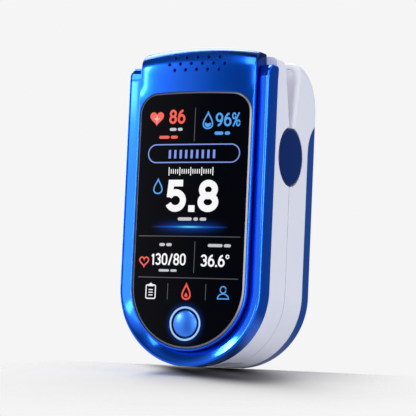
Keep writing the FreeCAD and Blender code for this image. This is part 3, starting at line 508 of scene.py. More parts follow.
dots = {"counts": (5, 6, 5), "pitch": 2.51, "rowPitch": 1.28, "drop": 2.15, "radius": 0.30, "flare": 0.10,
        "flareDepth": 0.14, "bow": 0.0035, "turns": 20, "before": -1, "behind": 3}


# Staggered rows of flared holes that follow the arch of the cover
def dotCutter():
    d = dots
    places = [((i - (count - 1) / 2) * d["pitch"], coverHigh[2] - d["drop"] - row * d["rowPitch"])
              for row, count in enumerate(d["counts"]) for i in range(count)]
    places = np.array([(x, z - d["bow"] * x * x) for x, z in places])
    flared = d["radius"] + d["flare"]
    profile = [(0, d["before"]), (flared, d["before"]), (flared, 0), (d["radius"], d["flareDepth"]),
               (d["radius"], d["behind"]), (0, d["behind"])]
    made = [lathe(profile, centre, 1, d["turns"]) for centre in atDepth(places, faceDepth(places))]
    size = len(made[0][0])
    return newMesh("dotCutter", np.concatenate([p for p, f in made]),
                   np.concatenate([f + i * size for i, (p, f) in enumerate(made)]))


# Ring from the glass pocket over the face and its rounded edge to the skirt, closed at the back;
# the edge's arc starts at the lean that the face has there
def makeCover():
    s = coverShape
    outer, ways = coverOutline()
    pocket, pocketWays = lensOutline(s["pocketFit"])
    rise = smoothStep((outer[:, 1] - coverHigh[2] + s["crown"] + s["shoulder"]) / s["shoulder"])
    edge = s["sideEdge"] + (s["topEdge"] - s["sideEdge"]) * rise
    lip = pocket + pocketWays * s["pocketEdge"]
    inset = outer - ways * edge[:, None]
    inner = pocket - pocketWays * s["ledgeReach"]
    skirt = outer - ways * s["skirt"]
    rows = [atDepth(inner, s["plate"]), atDepth(inner, s["ledge"]), atDepth(pocket, s["ledge"]),
            atDepth(pocket, faceDepth(pocket) + s["pocketEdge"])]
    for t in np.linspace(0, 1, stations["face"]):
        across = lip + (inset - lip) * t
        rows.append(atDepth(across, faceDepth(across)))
    base = faceDepth(inset)
    lean = np.arctan(np.maximum(0, base - faceDepth(inset - ways * s["leanStep"])) / s["leanStep"])
    bend = edge / (1 - np.sin(lean))
    for t in np.linspace(0, 1, stations["edge"])[1:]:
        turn = lean + (np.pi / 2 - lean) * t
        curve = outer - ways * (bend * (1 - np.sin(turn)))[:, None]
        rows.append(atDepth(curve, base + bend * (np.cos(lean) - np.cos(turn))))
    rows += [atDepth(outer, coverBack), atDepth(skirt, coverBack), atDepth(skirt, s["plate"])]
    mesh = newMesh("frontCover", np.concatenate(rows), gridFaces(len(rows), len(outer), True, True))
    addPiece("frontCover", cutMesh(mesh, dotCutter()), "front_jaw", ["coverBlue"], ["front_cover"])


makeCover()

rimShape = {"half": rimHigh[0], "lipDepth": 1.05, "gutter": 1.65, "lip": 0.52, "footCut": 0.1, "fit": 0.05,
            "rounds": (0, 0.3, 0.14, 0.45, 0.2), "endRound": 3.0, "endLength": 2.9, "endEdge": 0.2,
            "cornerIn": 0.25, "cornerDown": 1.0, "side": 56, "arc": 120, "endSteps": 6}


# U-shaped band between the cover's wall and the outer side: its profile is carried along both outlines
def makeRim():
    s = rimShape
    coverHalf = coverShape["half"] + s["fit"]
    band = s["half"] - coverHalf
    back = rimHigh[1] - frontY
    profile = roundCorners([(0, back), (0, s["gutter"]), (band - s["lip"], s["lipDepth"]), (band, s["lipDepth"]),
                            (band, back)], s["rounds"])
    top = rimHigh[2]
    share = np.linspace(0, 1, s["side"], endpoint=False) ** 2
    turn = np.linspace(np.pi, 2 * np.pi, s["arc"] + 1)

    def outline(half, centreZ):
        left = columns(-half, top - s["endEdge"] - share * (top - s["endEdge"] - centreZ))
        low = columns(half * np.cos(turn), centreZ + half * np.sin(turn))
        return np.concatenate([left, low, left[::-1] * [-1, 1]])

    inner = outline(coverHalf, coverLow[2] + coverShape["half"])
    outer = outline(s["half"], s["half"] - s["footCut"])
    up = np.clip((outer[:, 1] - top + s["cornerDown"]) / s["cornerDown"], 0, 1)
    outer[:, 0] -= np.sign(outer[:, 0]) * s["cornerIn"] * (1 - np.sqrt(1 - up ** 2))
    w = profile[:, 0] / band
    xz = inner[:, None] + w[None, :, None] * (outer - inner)[:, None]
    up = np.clip(xz[..., 1] - (top - s["endLength"]), 0, s["endLength"])
    depth = np.minimum(profile[:, 1] + s["endRound"] - np.sqrt(s["endRound"] ** 2 - up ** 2), back)
    rings = columns(xz[..., 0], frontY + depth, np.maximum(xz[..., 1], rimLow[2]))

    # each end closes over a small round: the ring shrinks to its middle as it rises
    def endRings(ring):
        middle = ring.mean(0)
        size = np.ptp(ring[:, 1]) / 2
        made = []
        for b in np.linspace(0, np.pi / 2, s["endSteps"])[1:]:
            shrunk = middle + (ring - middle) * (1 - s["endEdge"] * (1 - np.cos(b)) / size)
            shrunk[:, 2] = ring[:, 2] + s["endEdge"] * np.sin(b)
            made.append(shrunk)
        return made

    rings = np.concatenate([endRings(rings[0])[::-1], rings, endRings(rings[-1])])
    addPiece("rimFrame", newTube("rimFrame", rings), "front_jaw", ["rimBlue"], ["rim_frame"])


makeRim()


# Cover glass: rows run from the round button hole to the outline, over the bevel and round the back
def makeLens():
    s = lensShape
    outer, ways = lensOutline(0.0)
    middle = np.array([0.0, buttonZ])
    inset = outer - ways * s["bevel"]
    rim = middle + unit(inset - middle) * (ringRadius + s["holeFit"])
    rows = [atDepth(rim, s["thickness"])]
    for t in np.linspace(0, 1, stations["glass"]):
        across = rim + (inset - rim) * t
        rows.append(atDepth(across, sagDepth(across[:, 0])))
    bevelStart = len(rows) - 1
    rows += [atDepth(outer, sagDepth(outer[:, 0]) + s["bevelDepth"]), atDepth(outer, s["thickness"])]
    count = len(outer)
    faces = gridFaces(len(rows), count, True, True)
    mesh = newMesh("displayLens", np.concatenate(rows), faces, sharp=s["sharp"])
    addPiece("displayLens", mesh, "front_jaw", ["screenGlass", "screenEdge"], ["display_lens"])
    index = np.repeat(np.arange(len(rows)), count)
    mesh.polygons.foreach_set("material_index", (index == bevelStart).astype(np.int32))


makeLens()

ringShape = {"band": 0.4, "bevel": 0.06, "proud": 0.02, "deep": 1.0, "sharp": 80.0, "dark": (0, 4, 5)}
buttonShape = {"radius": 2.7, "proud": 0.4, "flange": 3.5, "flangeFront": 1.95, "flangeBack": 2.35,
               "domeShort": 0.25, "domeSteps": 16, "edgeDepth": 0.02, "rounds": (0, 0.2, 0, 0.1, 0.1, 0)}


# Light ring and domed button, both turned about the button's axis; the ring's walls are dark
def makeButton():
    s = ringShape
    centre = (0, frontY, buttonZ)
    half = [(ringRadius, s["deep"]), (ringRadius, s["bevel"]), (ringRadius - s["bevel"], -s["proud"])]
    collar = half + [(2 * ringRadius - s["band"] - r, depth) for r, depth in half[::-1]]
    points, faces = lathe(collar, centre, 1)
    mesh = newMesh("lightRing", points, faces, sharp=s["sharp"])
    addPiece("lightRing", mesh, "front_jaw", ["ringGlow", "ringSide"], ["button_light_ring"])
    side = np.arange(len(faces)) % len(collar)
    mesh.polygons.foreach_set("material_index", np.isin(side, s["dark"]).astype(np.int32))
    b = buttonShape
    sphere = (b["radius"] ** 2 + b["proud"] ** 2) / (2 * b["proud"])
    r = np.linspace(0, b["radius"] - b["domeShort"], b["domeSteps"])
    dome = columns(r, sphere - b["proud"] - np.sqrt(sphere ** 2 - r ** 2))
    side = roundCorners([dome[-1], (b["radius"], b["edgeDepth"]), (b["radius"], b["flangeFront"]),
                         (b["flange"], b["flangeFront"]), (b["flange"], b["flangeBack"]), (0, b["flangeBack"])],
                        b["rounds"], closed=False)
    mesh = newMesh("powerButton", *lathe(np.concatenate([dome, side[1:]]), centre, 1))
    addPiece("powerButton", mesh, "power_button", ["buttonBlue"], ["power_button"])


makeButton()

capShape = {"round": 0.7, "steps": 12, "turns": 128}


# Pivot discs: a flat face with a soft round edge, turned about the pivot
def makeCaps():
    for side, node, name in ((-1, "hinge_cap_left", "hingeCapLeft"), (1, "hinge_cap_right", "hingeCapRight")):
        low, high = boxOf(node)
        radius = (high[2] - low[2]) / 2
        reach = side * (high[0] - low[0])
        profile = roundCorners([(0, 0), (radius, 0), (radius, reach), (0, reach)], [0, 0, capShape["round"], 0],
                               capShape["steps"], closed=False)
        centre = (low[0] if side > 0 else high[0], (low[1] + high[1]) / 2, (low[2] + high[2]) / 2)
        mesh = newMesh(name, *lathe(profile, centre, 0, capShape["turns"]))
        addPiece(name, mesh, "front_jaw", ["capNavy"], [node])


makeCaps()
print("front: cover, rim, glass, button and caps made")

padShape = {"groove": 11.0, "edge": 0.35, "frontRise": 4.1, "rearRise": 2.6, "frontThin": 1.0, "rearThin": 0.6,
            "stop": 1.2, "stopSlope": 0.3, "stopRound": 0.8, "eyeHalf": 1.6, "eyeTall": 2.05, "eyeRound": 0.3,
            "eyeReach": 6, "grooveSteps": 41, "edgeSteps": 5}


# Section of a finger pad across the width: lands beside a round groove; depths count from its seat
def padSection(half, rise, thin):
    p = padShape
    reach = math.sqrt(p["groove"] ** 2 - (p["groove"] - rise + thin) ** 2)
    x = np.linspace(-reach, reach, p["grooveSteps"])
    groove = columns(x, thin + p["groove"] - np.sqrt(p["groove"] ** 2 - x ** 2))
    left = roundCorners([(-half, 0), (-half, rise), groove[0], groove[2]], [0, p["edge"], p["edge"], 0],
                        closed=False)
    right = left[::-1] * [-1, 1]
    return np.concatenate([left[:-1], groove[2:-2], right[1:]])


# A section carried up the channel, with softened ends; a stop closes the front pad's upper end
def makePad(name, node, body, rise, thin, facing, stop):
    p = padShape
    low, high = boxOf(node)
    half, edge = high[0], p["edge"]
    seat = low[1] if facing > 0 else high[1]
    section = last = padSection(half, rise, thin)
    beta = np.linspace(0, np.pi / 2, p["edgeSteps"])
    ends = list(zip(edge * (1 - np.sin(beta)), edge * (1 - np.cos(beta))))
    rings = [(low[2] + b, 1 - a / half, section) for a, b in ends]
    if stop:
        wall = high[1] - low[1] - edge
        block = roundCorners([(-half, 0), (-half, wall), (half, wall), (half, 0)],
                             [0, p["stopRound"], p["stopRound"], 0], closed=False)
        runs = np.concatenate([[0], np.cumsum(np.linalg.norm(np.diff(block, axis=0), axis=1))])
        share = np.linspace(0, 1, len(section))
        last = columns(*[np.interp(share, runs / runs[-1], side) for side in block.T])
        top = high[2] - p["stop"]
        rings += [(top - p["stopSlope"], 1, section), (top, 1, last)]
    rings += [(high[2] - a, 1 - b / half, last) for a, b in ends]
    mesh = newTube(name, [columns(s[:, 0] * k, seat + facing * s[:, 1] * k, z) for z, k, s in rings])
    eyeLow, eyeHigh = boxOf("sensor_window")
    wide, tall = p["eyeHalf"], p["eyeTall"]
    x, z = roundCorners([(-wide, -tall), (wide, -tall), (wide, tall), (-wide, tall)], [p["eyeRound"]] * 4, 4).T
    eye = [columns(x, seat + d, (eyeLow[2] + eyeHigh[2]) / 2 + z) for d in (-p["eyeReach"], p["eyeReach"])]
    mesh = cutMesh(mesh, newTube("eyeCutter", eye))
    piece = addPiece(name, mesh, body, ["silicone"], [node])


makePad("frontFingerPad", "front_finger_pad", "front_jaw", padShape["frontRise"], padShape["frontThin"], 1, True)
makePad("rearFingerPad", "rear_finger_pad", "rear_jaw", padShape["rearRise"], padShape["rearThin"], -1, False)

foamShape = {"corner": 0.5, "cornerSteps": 8, "steps": 40, "endPower": 0.12, "endShare": 0.02}


# Foam strip behind the cells: a rounded bar whose section swells a little between its ends
def makeFoam():
    s = foamShape
    low, high = boxOf("cell_pad")
    half, middle = (high - low) / 2, (high + low) / 2
    v = np.linspace(-np.pi / 2, np.pi / 2, s["steps"])[:, None]
    x, y = roundCorners([(-1, -1), (1, -1), (1, 1), (-1, 1)], [s["corner"]] * 4, s["cornerSteps"]).T
    shrink = np.abs(np.cos(v)) ** s["endPower"]
    shrink[[0, -1]] = s["endShare"]
    rings = columns(middle[0] + half[0] * shrink * x, middle[1] + half[1] * shrink * y,
                    middle[2] + half[2] * np.sin(v))
    piece = addPiece("cellPad", newTube("cellPad", rings), "battery_cover", ["foamGrey"], ["cell_pad"])


makeFoam()


# Rings of a round wire carried along a path of points, on a frame that turns as little as it can
def wireRings(path, radius, sides):
    way = unit(np.gradient(path, axis=0))
    across = np.zeros_like(path)
    across[0] = unit(np.cross(way[0], [0.3, 0.8, 0.5]))        # any way that isn't along the wire
    for i in range(1, len(path)):
        across[i] = unit(across[i - 1] - way[i] * (across[i - 1] @ way[i]))
    third = np.cross(way, across)
    a = np.linspace(0, 2 * np.pi, sides, endpoint=False)[None, :, None]
    return path[:, None] + radius * (np.cos(a) * across[:, None] + np.sin(a) * third[:, None])


springShape = {"wire": 0.6, "sides": 14, "bend": 0.8, "rearHidden": 0.6, "pinGap": 0.1, "turnGap": 0.45,
               "turns": 4, "turnSteps": 48, "legRise": 12.2, "legShort": 0.2, "legStep": 0.3, "frontSteps": 12,
               "rearSteps": 8}


# Torsion springs: a helix round the pin between two straight legs, one for each jaw
def makeHingeSprings():
    s = springShape
    pinLow, pinHigh = boxOf("hinge_pin")
    pivot = (pinLow + pinHigh) / 2
    mean = (pinHigh[2] - pinLow[2]) / 2 + s["pinGap"] + s["wire"] / 2
    pitch = s["wire"] + s["turnGap"]
    around = 2 * np.pi * mean
    capLow, capHigh = boxOf("hinge_cap_right")
    rearLength = (capHigh[2] - capLow[2]) / 2 - s["rearHidden"]
    aside = np.array([0.0, s["bend"], 0.0])

    def way(turn):
        angle = 2 * np.pi * turn
        return np.array([pitch, -around * np.sin(angle), around * np.cos(angle)]) / np.hypot(pitch, around)

    for side, node, name in ((1, "hinge_spring_right", "hingeSpringRight"),
                             (-1, "hinge_spring_left", "hingeSpringLeft")):
        low, high = boxOf(node)
        lastX = max(abs(low[0]), abs(high[0])) - s["wire"] / 2 - rearLength * pitch / np.hypot(pitch, around)
        forward = pivot[1] - (low[1] + s["wire"] / 2)
        away = math.hypot(forward, s["legRise"])
        lean = math.atan2(forward, s["legRise"]) - math.asin(mean / away)
        firstTurn, lastTurn = 0.5 + lean / (2 * math.pi), 1.0 + s["turns"]
        turn = np.linspace(firstTurn, lastTurn, s["turnSteps"] * s["turns"])
        angle = 2 * np.pi * turn
        coil = columns(lastX - pitch * (lastTurn - turn), pivot[1] + mean * np.cos(angle),
                       pivot[2] + mean * np.sin(angle))
        frontLength = math.sqrt(away ** 2 - mean ** 2) - s["legShort"]
        frontLeg = coil[0] - way(firstTurn) * np.linspace(frontLength, s["legStep"], s["frontSteps"])[:, None]
        rearLeg = coil[-1] + way(lastTurn) * np.linspace(s["legStep"], rearLength, s["rearSteps"])[:, None]
        path = np.concatenate([frontLeg, coil, rearLeg]) * [side, 1, 1]
        mesh = newTube(name, wireRings(path, s["wire"] / 2, s["sides"]))
        addPiece(name, mesh, "rear_jaw", ["steel"], [node], ("front_jaw", pivot + aside, pivot - aside))


ribbonShape = {"thick": 0.2, "bend": 0.9, "edge": 0.06, "edgeSteps": 3, "rearHold": 1.5, "frontHold": -2.5,
               "riseSteps": 24, "bendSteps": 10, "runSteps": 60}


# Ribbon: a thin rounded section carried up the light's board, round a quarter turn and forward to its socket
def makeRibbon():
    s = ribbonShape
    low, high = boxOf("flex_cable")
    half, thin = high[0], s["thick"] / 2
    backY, topZ = high[1] - thin, high[2] - thin
    a = np.linspace(0, np.pi / 2, s["bendSteps"])
    path = np.concatenate([columns(backY, np.linspace(low[2], topZ - s["bend"], s["riseSteps"], endpoint=False)),
                           columns(backY - s["bend"] * (1 - np.cos(a)), topZ - s["bend"] * (1 - np.sin(a))),
                           columns(np.linspace(backY - s["bend"], low[1], s["runSteps"])[1:], topZ)])
    way = unit(np.gradient(path, axis=0))
    x, through = roundCorners([(-half, -thin), (half, -thin), (half, thin), (-half, thin)], [s["edge"]] * 4,
                              s["edgeSteps"]).T
    rings = columns(x, path[:, :1] - way[:, 1:] * through, path[:, 1:] + way[:, :1] * through)
    hold = [np.array([0.0, s[end], topZ]) for end in ("rearHold", "frontHold")]
    addPiece("flexRibbon", newTube("flexRibbon", rings), "rear_jaw", ["ribbonFilm"], ["flex_cable"],
             ("front_jaw", *hold))


contactShape = {"wire": 0.4, "sides": 12, "outer": 3.2, "inner": 1.6, "turns": 2, "turnSteps": 60}


# Conical contact springs: the radius falls evenly as the turns climb
def makeContactSprings():
    s = contactShape
    for sign, node, name, cellNode in ((1, "lower_cell_spring", "lowerCellSpring", "battery_cell_left"),
                                       (-1, "upper_cell_spring", "upperCellSpring", "battery_cell_right")):
        low, high = boxOf(node)
        axis = sum(boxOf(cellNode)) / 2
        base = low[2] if sign > 0 else high[2]
        climb = high[2] - low[2] - s["wire"]
        share = np.linspace(0, 1, s["turnSteps"] * s["turns"])
        angle = 2 * np.pi * s["turns"] * share
        radius = s["outer"] - (s["outer"] - s["inner"]) * share
        path = columns(axis[0] + radius * np.cos(angle), axis[1] + radius * np.sin(angle),
                       base + sign * (s["wire"] / 2 + climb * share))
        mesh = newTube(name, wireRings(path, s["wire"] / 2, s["sides"]))
        addPiece(name, mesh, "rear_jaw", ["nickel"], [node])


makeHingeSprings()
makeRibbon()
makeContactSprings()
print("soft pieces and springs made")

mitreLimit = 0.45
barStep = 0.8


# Flat strip of a given width along a line of (x, z) points, mitred at its corners
def strip(line, width, closed=False):
    line = np.asarray(line, float)
    if closed:
        before, after = np.roll(line, 1, 0), np.roll(line, -1, 0)
    else:
        before = np.concatenate([[2 * line[0] - line[1]], line[:-1]])
        after = np.concatenate([line[1:], [2 * line[-1] - line[-2]]])
    a, b = unit(line - before), unit(after - line)
    normal = unit(columns(-(a + b)[:, 1], (a + b)[:, 0]))
    stretch = 1 / np.maximum(mitreLimit, np.abs(normal[:, 0] * -a[:, 1] + normal[:, 1] * a[:, 0]))
    off = normal * stretch[:, None] * width / 2
    return np.concatenate([line + off, line - off]), gridFaces(2, len(line), closeCols=closed).tolist()


def fill(outline):
    return np.asarray(outline, float), [list(range(len(outline)))]


def ellipse(x, z, rx, rz, start=0.0, end=360.0, count=40):
    a = np.radians(np.linspace(start, end, count))
    return columns(x + rx * np.cos(a), z + rz * np.sin(a))


def bar(x0, x1, z, height):
    return strip(columns(np.linspace(x0, x1, max(2, int(abs(x1 - x0) / barStep) + 2)), z), height)


def oval(x, z, rx, rz, start=0.0, end=360.0):
    return ellipse(x, z, rx, rz, start, end, 28)


# Strokes of the numerals in a box of 1 by 1, as lines through points and parts of ellipses; True closes one
numerals = {
    "0": [([*oval(0.5, 0.66, 0.5, 0.34, 0, 180), *oval(0.5, 0.34, 0.5, 0.34, 180, 360)], True)],
    "1": [([(0.75, 1.0), (0.75, -0.08)], False), ([(0.0, 0.76), (0.75, 0.99)], False)],
    "2": [([*oval(0.5, 0.70, 0.48, 0.30, 170, -35), (0.02, 0.0), (1.0, 0.0)], False)],
    "3": [([*oval(0.48, 0.74, 0.46, 0.26, 160, -75), *oval(0.48, 0.26, 0.50, 0.26, 78, -160)], False)],
    "5": [([(0.96, 1.0), (0.14, 1.0), (0.06, 0.44)], False), (oval(0.47, 0.315, 0.53, 0.315, 150, -155), False)],
    "6": [(oval(0.5, 0.31, 0.5, 0.31), True), (oval(0.78, 0.31, 0.78, 0.69, 180, 92), False)],
    "8": [(oval(0.5, 0.75, 0.44, 0.25), True), (oval(0.5, 0.26, 0.5, 0.26), True)],
    "9": [(oval(0.5, 0.69, 0.5, 0.31), True), (oval(0.22, 0.69, 0.78, 0.69, 0, -88), False)],
    "/": [([(0.0, -0.08), (1.0, 1.04)], False)],
}
narrow = {"1": 0.62, "/": 0.8}              # share of the width that these take


# A row of numerals: each is drawn between its half strokes; returns strips for one mesh
def writeNumber(text, x, z, height, width, stroke, gap):
    made = []
    for mark in text:
        wide = width * narrow.get(mark, 1.0)
        if mark == ".":
            wide = stroke * 1.05
            made.append(bar(x, x + wide, z + stroke / 2, stroke))
        elif mark == "%":
            for cx, cz in ((0.22, 0.76), (0.78, 0.24)):
                ring = ellipse(x + cx * width, z + cz * height, width * 0.2, height * 0.2)
                made.append(strip(ring, stroke * 0.7, True))
            made.append(strip([(x + 0.12 * width, z), (x + 0.88 * width, z + height)], stroke * 0.75))
        elif mark == "*":
            wide = 2.6 * stroke
            ring = ellipse(x + stroke, z + height - stroke, stroke * 0.8, stroke * 0.8)
            made.append(strip(ring, stroke * 0.6, True))
        else:
            for line, closed in numerals[mark]:
                placed = np.array([x, z]) + stroke / 2 + np.array(line) * [wide - stroke, height - stroke]
                made.append(strip(placed[:-1] if closed else placed, stroke, closed))
        x += wide + gap
    return made


# Heart: the sine-cubed curve; drop: a circle drawn up to a point
def heart(x, z, size):
    t = np.linspace(0, 2 * np.pi, 60, endpoint=False)
    px = 16 * np.sin(t) ** 3
    pz = 13 * np.cos(t) - 5 * np.cos(2 * t) - 2 * np.cos(3 * t) - np.cos(4 * t)
    return columns(x + px * size / 32, z + (pz + 2.5) * size / 32)


def drop(x, z, width, height):
    t = np.linspace(0, 2 * np.pi, 48, endpoint=False)
    return columns(x - np.sin(t) * np.sin(t / 2) ** 1.6 * width / 1.42, z + np.cos(t) * height / 2)


def pill(x, z, half, tall, count=20):
    right = ellipse(x + half - tall, z, tall, tall, -90, 90, count)
    left = ellipse(x - half + tall, z, tall, tall, 90, 270, count)
    top = np.linspace(right[-1], left[0], 24)[1:-1]
    low = np.linspace(left[-1], right[0], 24)[1:-1]
    return np.concatenate([right, top, left, low])


# Upright ticks between two places, every nth one tall
def ticks(x0, x1, z, tall, short, count, every, width):
    rises = [(short if i % every else tall) / 2 for i in range(count)]
    return [strip([(x, z - rise), (x, z + rise)], width) for x, rise in zip(np.linspace(x0, x1, count), rises)]


# Rounded bars in a row
def dashes(x0, x1, z, height, lengths, gap=0.3):
    lengths = np.array(lengths) * (x1 - x0 - gap * (len(lengths) - 1)) / sum(lengths)
    ends = x0 + np.cumsum(lengths + gap) - gap
    return [fill(pill(end - length / 2, z, length / 2, height / 2, 8)) for end, length in zip(ends, lengths)]


screenLift = 0.012


# Joins flat shapes into one mesh that follows the curved glass, a hair in front of it
def addMarks(name, material, shapes, lift=screenLift):
    points, faces, start = [], [], 0
    for p, f in shapes:
        points.append(p)
        faces += [[i + start for i in face] for face in f]
        start += len(p)
    xz = np.concatenate(points)
    mesh = newMesh(name, atDepth(xz, sagDepth(xz[:, 0]) - lift), faces, solid=False)
    flat = bmesh.new()
    flat.from_mesh(mesh)
    for face in flat.faces:
        if face.normal.y > 0:
            face.normal_flip()
    flat.to_mesh(mesh)
    flat.free()
    addPiece(name, mesh, "front_jaw", [material])


# Places on the glass: x across from its middle, z up from the feet
def makeScreen():
    addMarks("pulseHeart", "litRed", [fill(heart(-8.62, 50.7, 3.25))])
    spark = [(-9.5, 50.75), (-8.75, 50.9), (-8.62, 51.7), (-8.49, 50.9), (-7.75, 50.75), (-8.49, 50.6),
             (-8.62, 49.6), (-8.75, 50.6)]
    addMarks("pulseSpark", "litPale", [fill(spark)], 0.02)
    addMarks("pulseNumber", "litRed", writeNumber("86", -5.72, 49.64, 2.98, 1.78, 0.50, 0.2))
    addMarks("pulseUnit", "litPale", dashes(-5.5, -2.5, 48.5, 0.62, (2, 1.4)))
    addMarks("pulseLabel", "litRed", dashes(-7.9, -3.55, 46.9, 0.62, (3, 2)))
    level = [*ellipse(3.22, 49.62, 0.72, 0.74, 180, 360, 24), (3.7, 49.78), (3.22, 49.55), (2.75, 49.82)]
    addMarks("oxygenDrop", "litBlue", [strip(drop(3.22, 50.25, 2.15, 3.3), 0.3, True), fill(level)])
    addMarks("oxygenNumber", "litBlue", writeNumber("96%", 4.93, 48.98, 2.83, 1.66, 0.42, 0.2))
    addMarks("oxygenLabel", "litBlue", dashes(4.8, 8.25, 47.6, 0.68, (2, 1.2)))
    addMarks("levelPill", "litLilac", [strip(pill(0.13, 43.5, 10.4, 1.85), 0.24, True)]
             + ticks(-5.2, 4.9, 43.35, 1.75, 1.75, 9, 1, 0.52))
    addMarks("levelScale", "litWhite", ticks(-5.2, 4.8, 39.8, 1.7, 0.95, 21, 5, 0.2))
    addMarks("sampleDrop", "litBlue", [strip(drop(-7.65, 36.72, 2.0, 2.95), 0.27, True)])
    addMarks("mainNumber", "litWhite", writeNumber("5.8", -5.67, 31.46, 6.6, 4.66, 1.36, 0.62))
    addMarks("mainUnit", "litPale", dashes(-2.7, 3.8, 30.0, 0.66, (3, 1, 1.4), 0.35))
    addMarks("separators", "litGrey", [bar(-11.7, 11.45, 26.45, 0.16), bar(-11.35, 11.37, 17.95, 0.16)]
             + [strip([(x, z0), (x, z1)], 0.14) for x, z0, z1 in
                ((0.28, 46.0, 52.9), (1.49, 18.98, 25.44), (-4.28, 13.47, 16.76), (4.36, 13.54, 16.8))])
    addMarks("pressureHeart", "litRed", [strip(heart(-10.14, 21.1, 2.1), 0.3, True)])
    addMarks("pressureLabel", "litPale", dashes(-6.7, -3.8, 24.7, 0.62, (1, 1)))
    addMarks("pressureNumber", "litWhite", writeNumber("130/80", -8.5, 20.48, 2.45, 1.36, 0.36, 0.14))
    addMarks("pressureUnit", "litPale", dashes(-6.6, -2.4, 19.4, 0.5, (2, 1.2)))
    addMarks("heatLabel", "litPale", dashes(4.4, 9.5, 24.65, 0.62, (3, 1.4)))
    addMarks("heatNumber", "litWhite", writeNumber("36.6*", 2.91, 20.31, 2.5, 1.5, 0.40, 0.16))
    sheet = roundCorners([(-9.35, 13.6), (-7.15, 13.6), (-7.15, 16.35), (-9.35, 16.35)], [0.35] * 4)
    clip = [(-8.85, 16.1), (-7.65, 16.1), (-7.65, 16.5), (-8.0, 16.6), (-8.25, 16.85), (-8.5, 16.6),
            (-8.85, 16.5)]
    addMarks("clipboard", "litWhite", [strip(sheet, 0.24, True), fill(clip)]
             + [bar(-8.75, -7.75, z, 0.2) for z in (14.3, 14.85, 15.4)])
    addMarks("bloodDrop", "litRed", [strip(drop(0.0, 15.15, 1.85, 3.05), 0.34, True),
                                     fill(drop(-0.02, 14.55, 0.7, 1.0))])
    shoulders = [(7.05, 13.9), *ellipse(8.25, 13.9, 1.2, 1.0, 175, 5, 24), (9.45, 13.9)]
    addMarks("figure", "litBlue", [strip(ellipse(8.22, 15.72, 0.62, 0.66), 0.24, True),
                                   strip(shoulders, 0.24, True)])


makeScreen()
print("screen marks made")

# The rest of the frame keeps its shape and gets its finish
nodeFinishes = {"shellWhite": ("front_shell", "rear_shell", "rear_inner_frame"), "rearBlue": ("battery_cover",),
                "moduleGlass": ("display_module",), "boardGreen": ("main_board", "emitter_board"),
                "blackParts": ("board_chips", "sounder", "power_switch", "light_sensor", "flex_socket",
                               "switch_plunger"),
                "clearWindow": ("sensor_window", "emitter_window", "emitter_leds"),
                "steel": ("front_screws", "rear_screws", "hinge_pin"),
                "cellWrap": ("battery_cell_left", "battery_cell_right"),
                "nickel": ("cell_bridge", "positive_terminal", "negative_terminal")}
for finish, names in nodeFinishes.items():
    for name in names:
        nodes[name].data.materials.clear()
        nodes[name].data.materials.append(materials[finish])


# Empties the nodes of a material or the world and gives a wire to build on
def bareWire(owner):
    owner.use_nodes = True
    owner.node_tree.nodes.clear()
    return Wire(owner.node_tree)


# 1 for rays of these kinds, 0 for all others
def seenBy(wire, first, *others):
    seen = wire.make("LightPath", output=f"Is {first} Ray")
    for kind in others:
        seen = wire.maths("MAXIMUM", seen, wire.make("LightPath", output=f"Is {kind} Ray"))
    return seen


# Stage: a pale floor that fades into the background, soft lights, and dark cards that the gloss reflects
floorPlan = {"bendY": 2.0, "drop": 0.13, "soften": 5.0, "reach": 700.0, "below": 0.02, "spread": 5.5, "rows": 181,
             "tone": (0.75, 0.75, 0.75), "seenTone": (0.7045, 0.698, 0.678), "fadeFrom": 24.0, "fadeOver": 46.0,
             "edgeOver": 30.0, "asideFrom": 18.0, "asideOver": 30.0, "fadeBack": 8.0, "fadeBackOver": 30.0}
# Shade under the part: soft ovals in the floor, by centre, turn, half sizes and depth
floorShade = [{"at": (-6.5, -2.2), "turn": -42.3, "size": (16.3, 3.6), "depth": 0.90},
              {"at": (8.7, -11.4), "turn": -28.8, "size": (13.0, 4.8), "depth": 0.76},
              {"at": (1.6, 3.9), "turn": -44.0, "size": (30.0, 7.0), "depth": 0.97}]


# The floor is level under and behind the part and falls away gently before it, so that a low camera sees it
def makeFloor():
    f = floorPlan
    spread = np.linspace(-f["spread"], f["spread"], f["rows"])
    y = f["bendY"] + np.sinh(spread) * f["reach"] / math.sinh(f["spread"])
    before = f["bendY"] - y
    z = -f["drop"] * (before + np.sqrt(before ** 2 + f["soften"] ** 2)) / 2
    points = np.concatenate([columns(side * f["reach"], y, z - f["below"]) for side in (-1, 1)])
    floor = newThing("floor", newMesh("floor", points, gridFaces(2, len(y)), solid=False))
    material = bpy.data.materials.new("floorPale")
    start = bareWire(material)
    x, y, z = axes(start.make("TexCoord", output="Object"))
    stays = 1.0 - ((x * x + y * y) ** 0.5).ramp(f["fadeFrom"], f["fadeOver"])
    stays = stays * (1.0 - y.ramp(f["fadeBack"], f["fadeBackOver"]))
    aside = start.maths("ABSOLUTE", x).ramp(f["asideFrom"], f["asideOver"])
    stays = stays * (1.0 - y.ramp(f["bendY"] - f["edgeOver"], f["edgeOver"]) * aside)
    left = 1.0
    for patch in floorShade:
        cos, sin = math.cos(math.radians(patch["turn"])), math.sin(math.radians(patch["turn"]))
        dx, dy = x - patch["at"][0], y - patch["at"][1]
        long, short = (dx * cos + dy * sin) / patch["size"][0], (dy * cos - dx * sin) / patch["size"][1]
        left = (1.0 - long.bell() * short.bell() * patch["depth"]) * left
    shaded = left.mix(rgb(0, 0, 0), rgb(*f["seenTone"]))
    tone = seenBy(start, "Camera", "Glossy").mix(rgb(*f["tone"]), shaded)
    soft = start.make("BsdfDiffuse", {"Color": tone})
    start.make("MixShader", {"Fac": stays, 1: start.make("BsdfTransparent"), 2: soft}).end("Material")
    floor.data.materials.append(material)


makeFloor()

worldTones = {"seen": (0.913, 0.913, 0.913), "light": (0.62, 0.625, 0.64)}


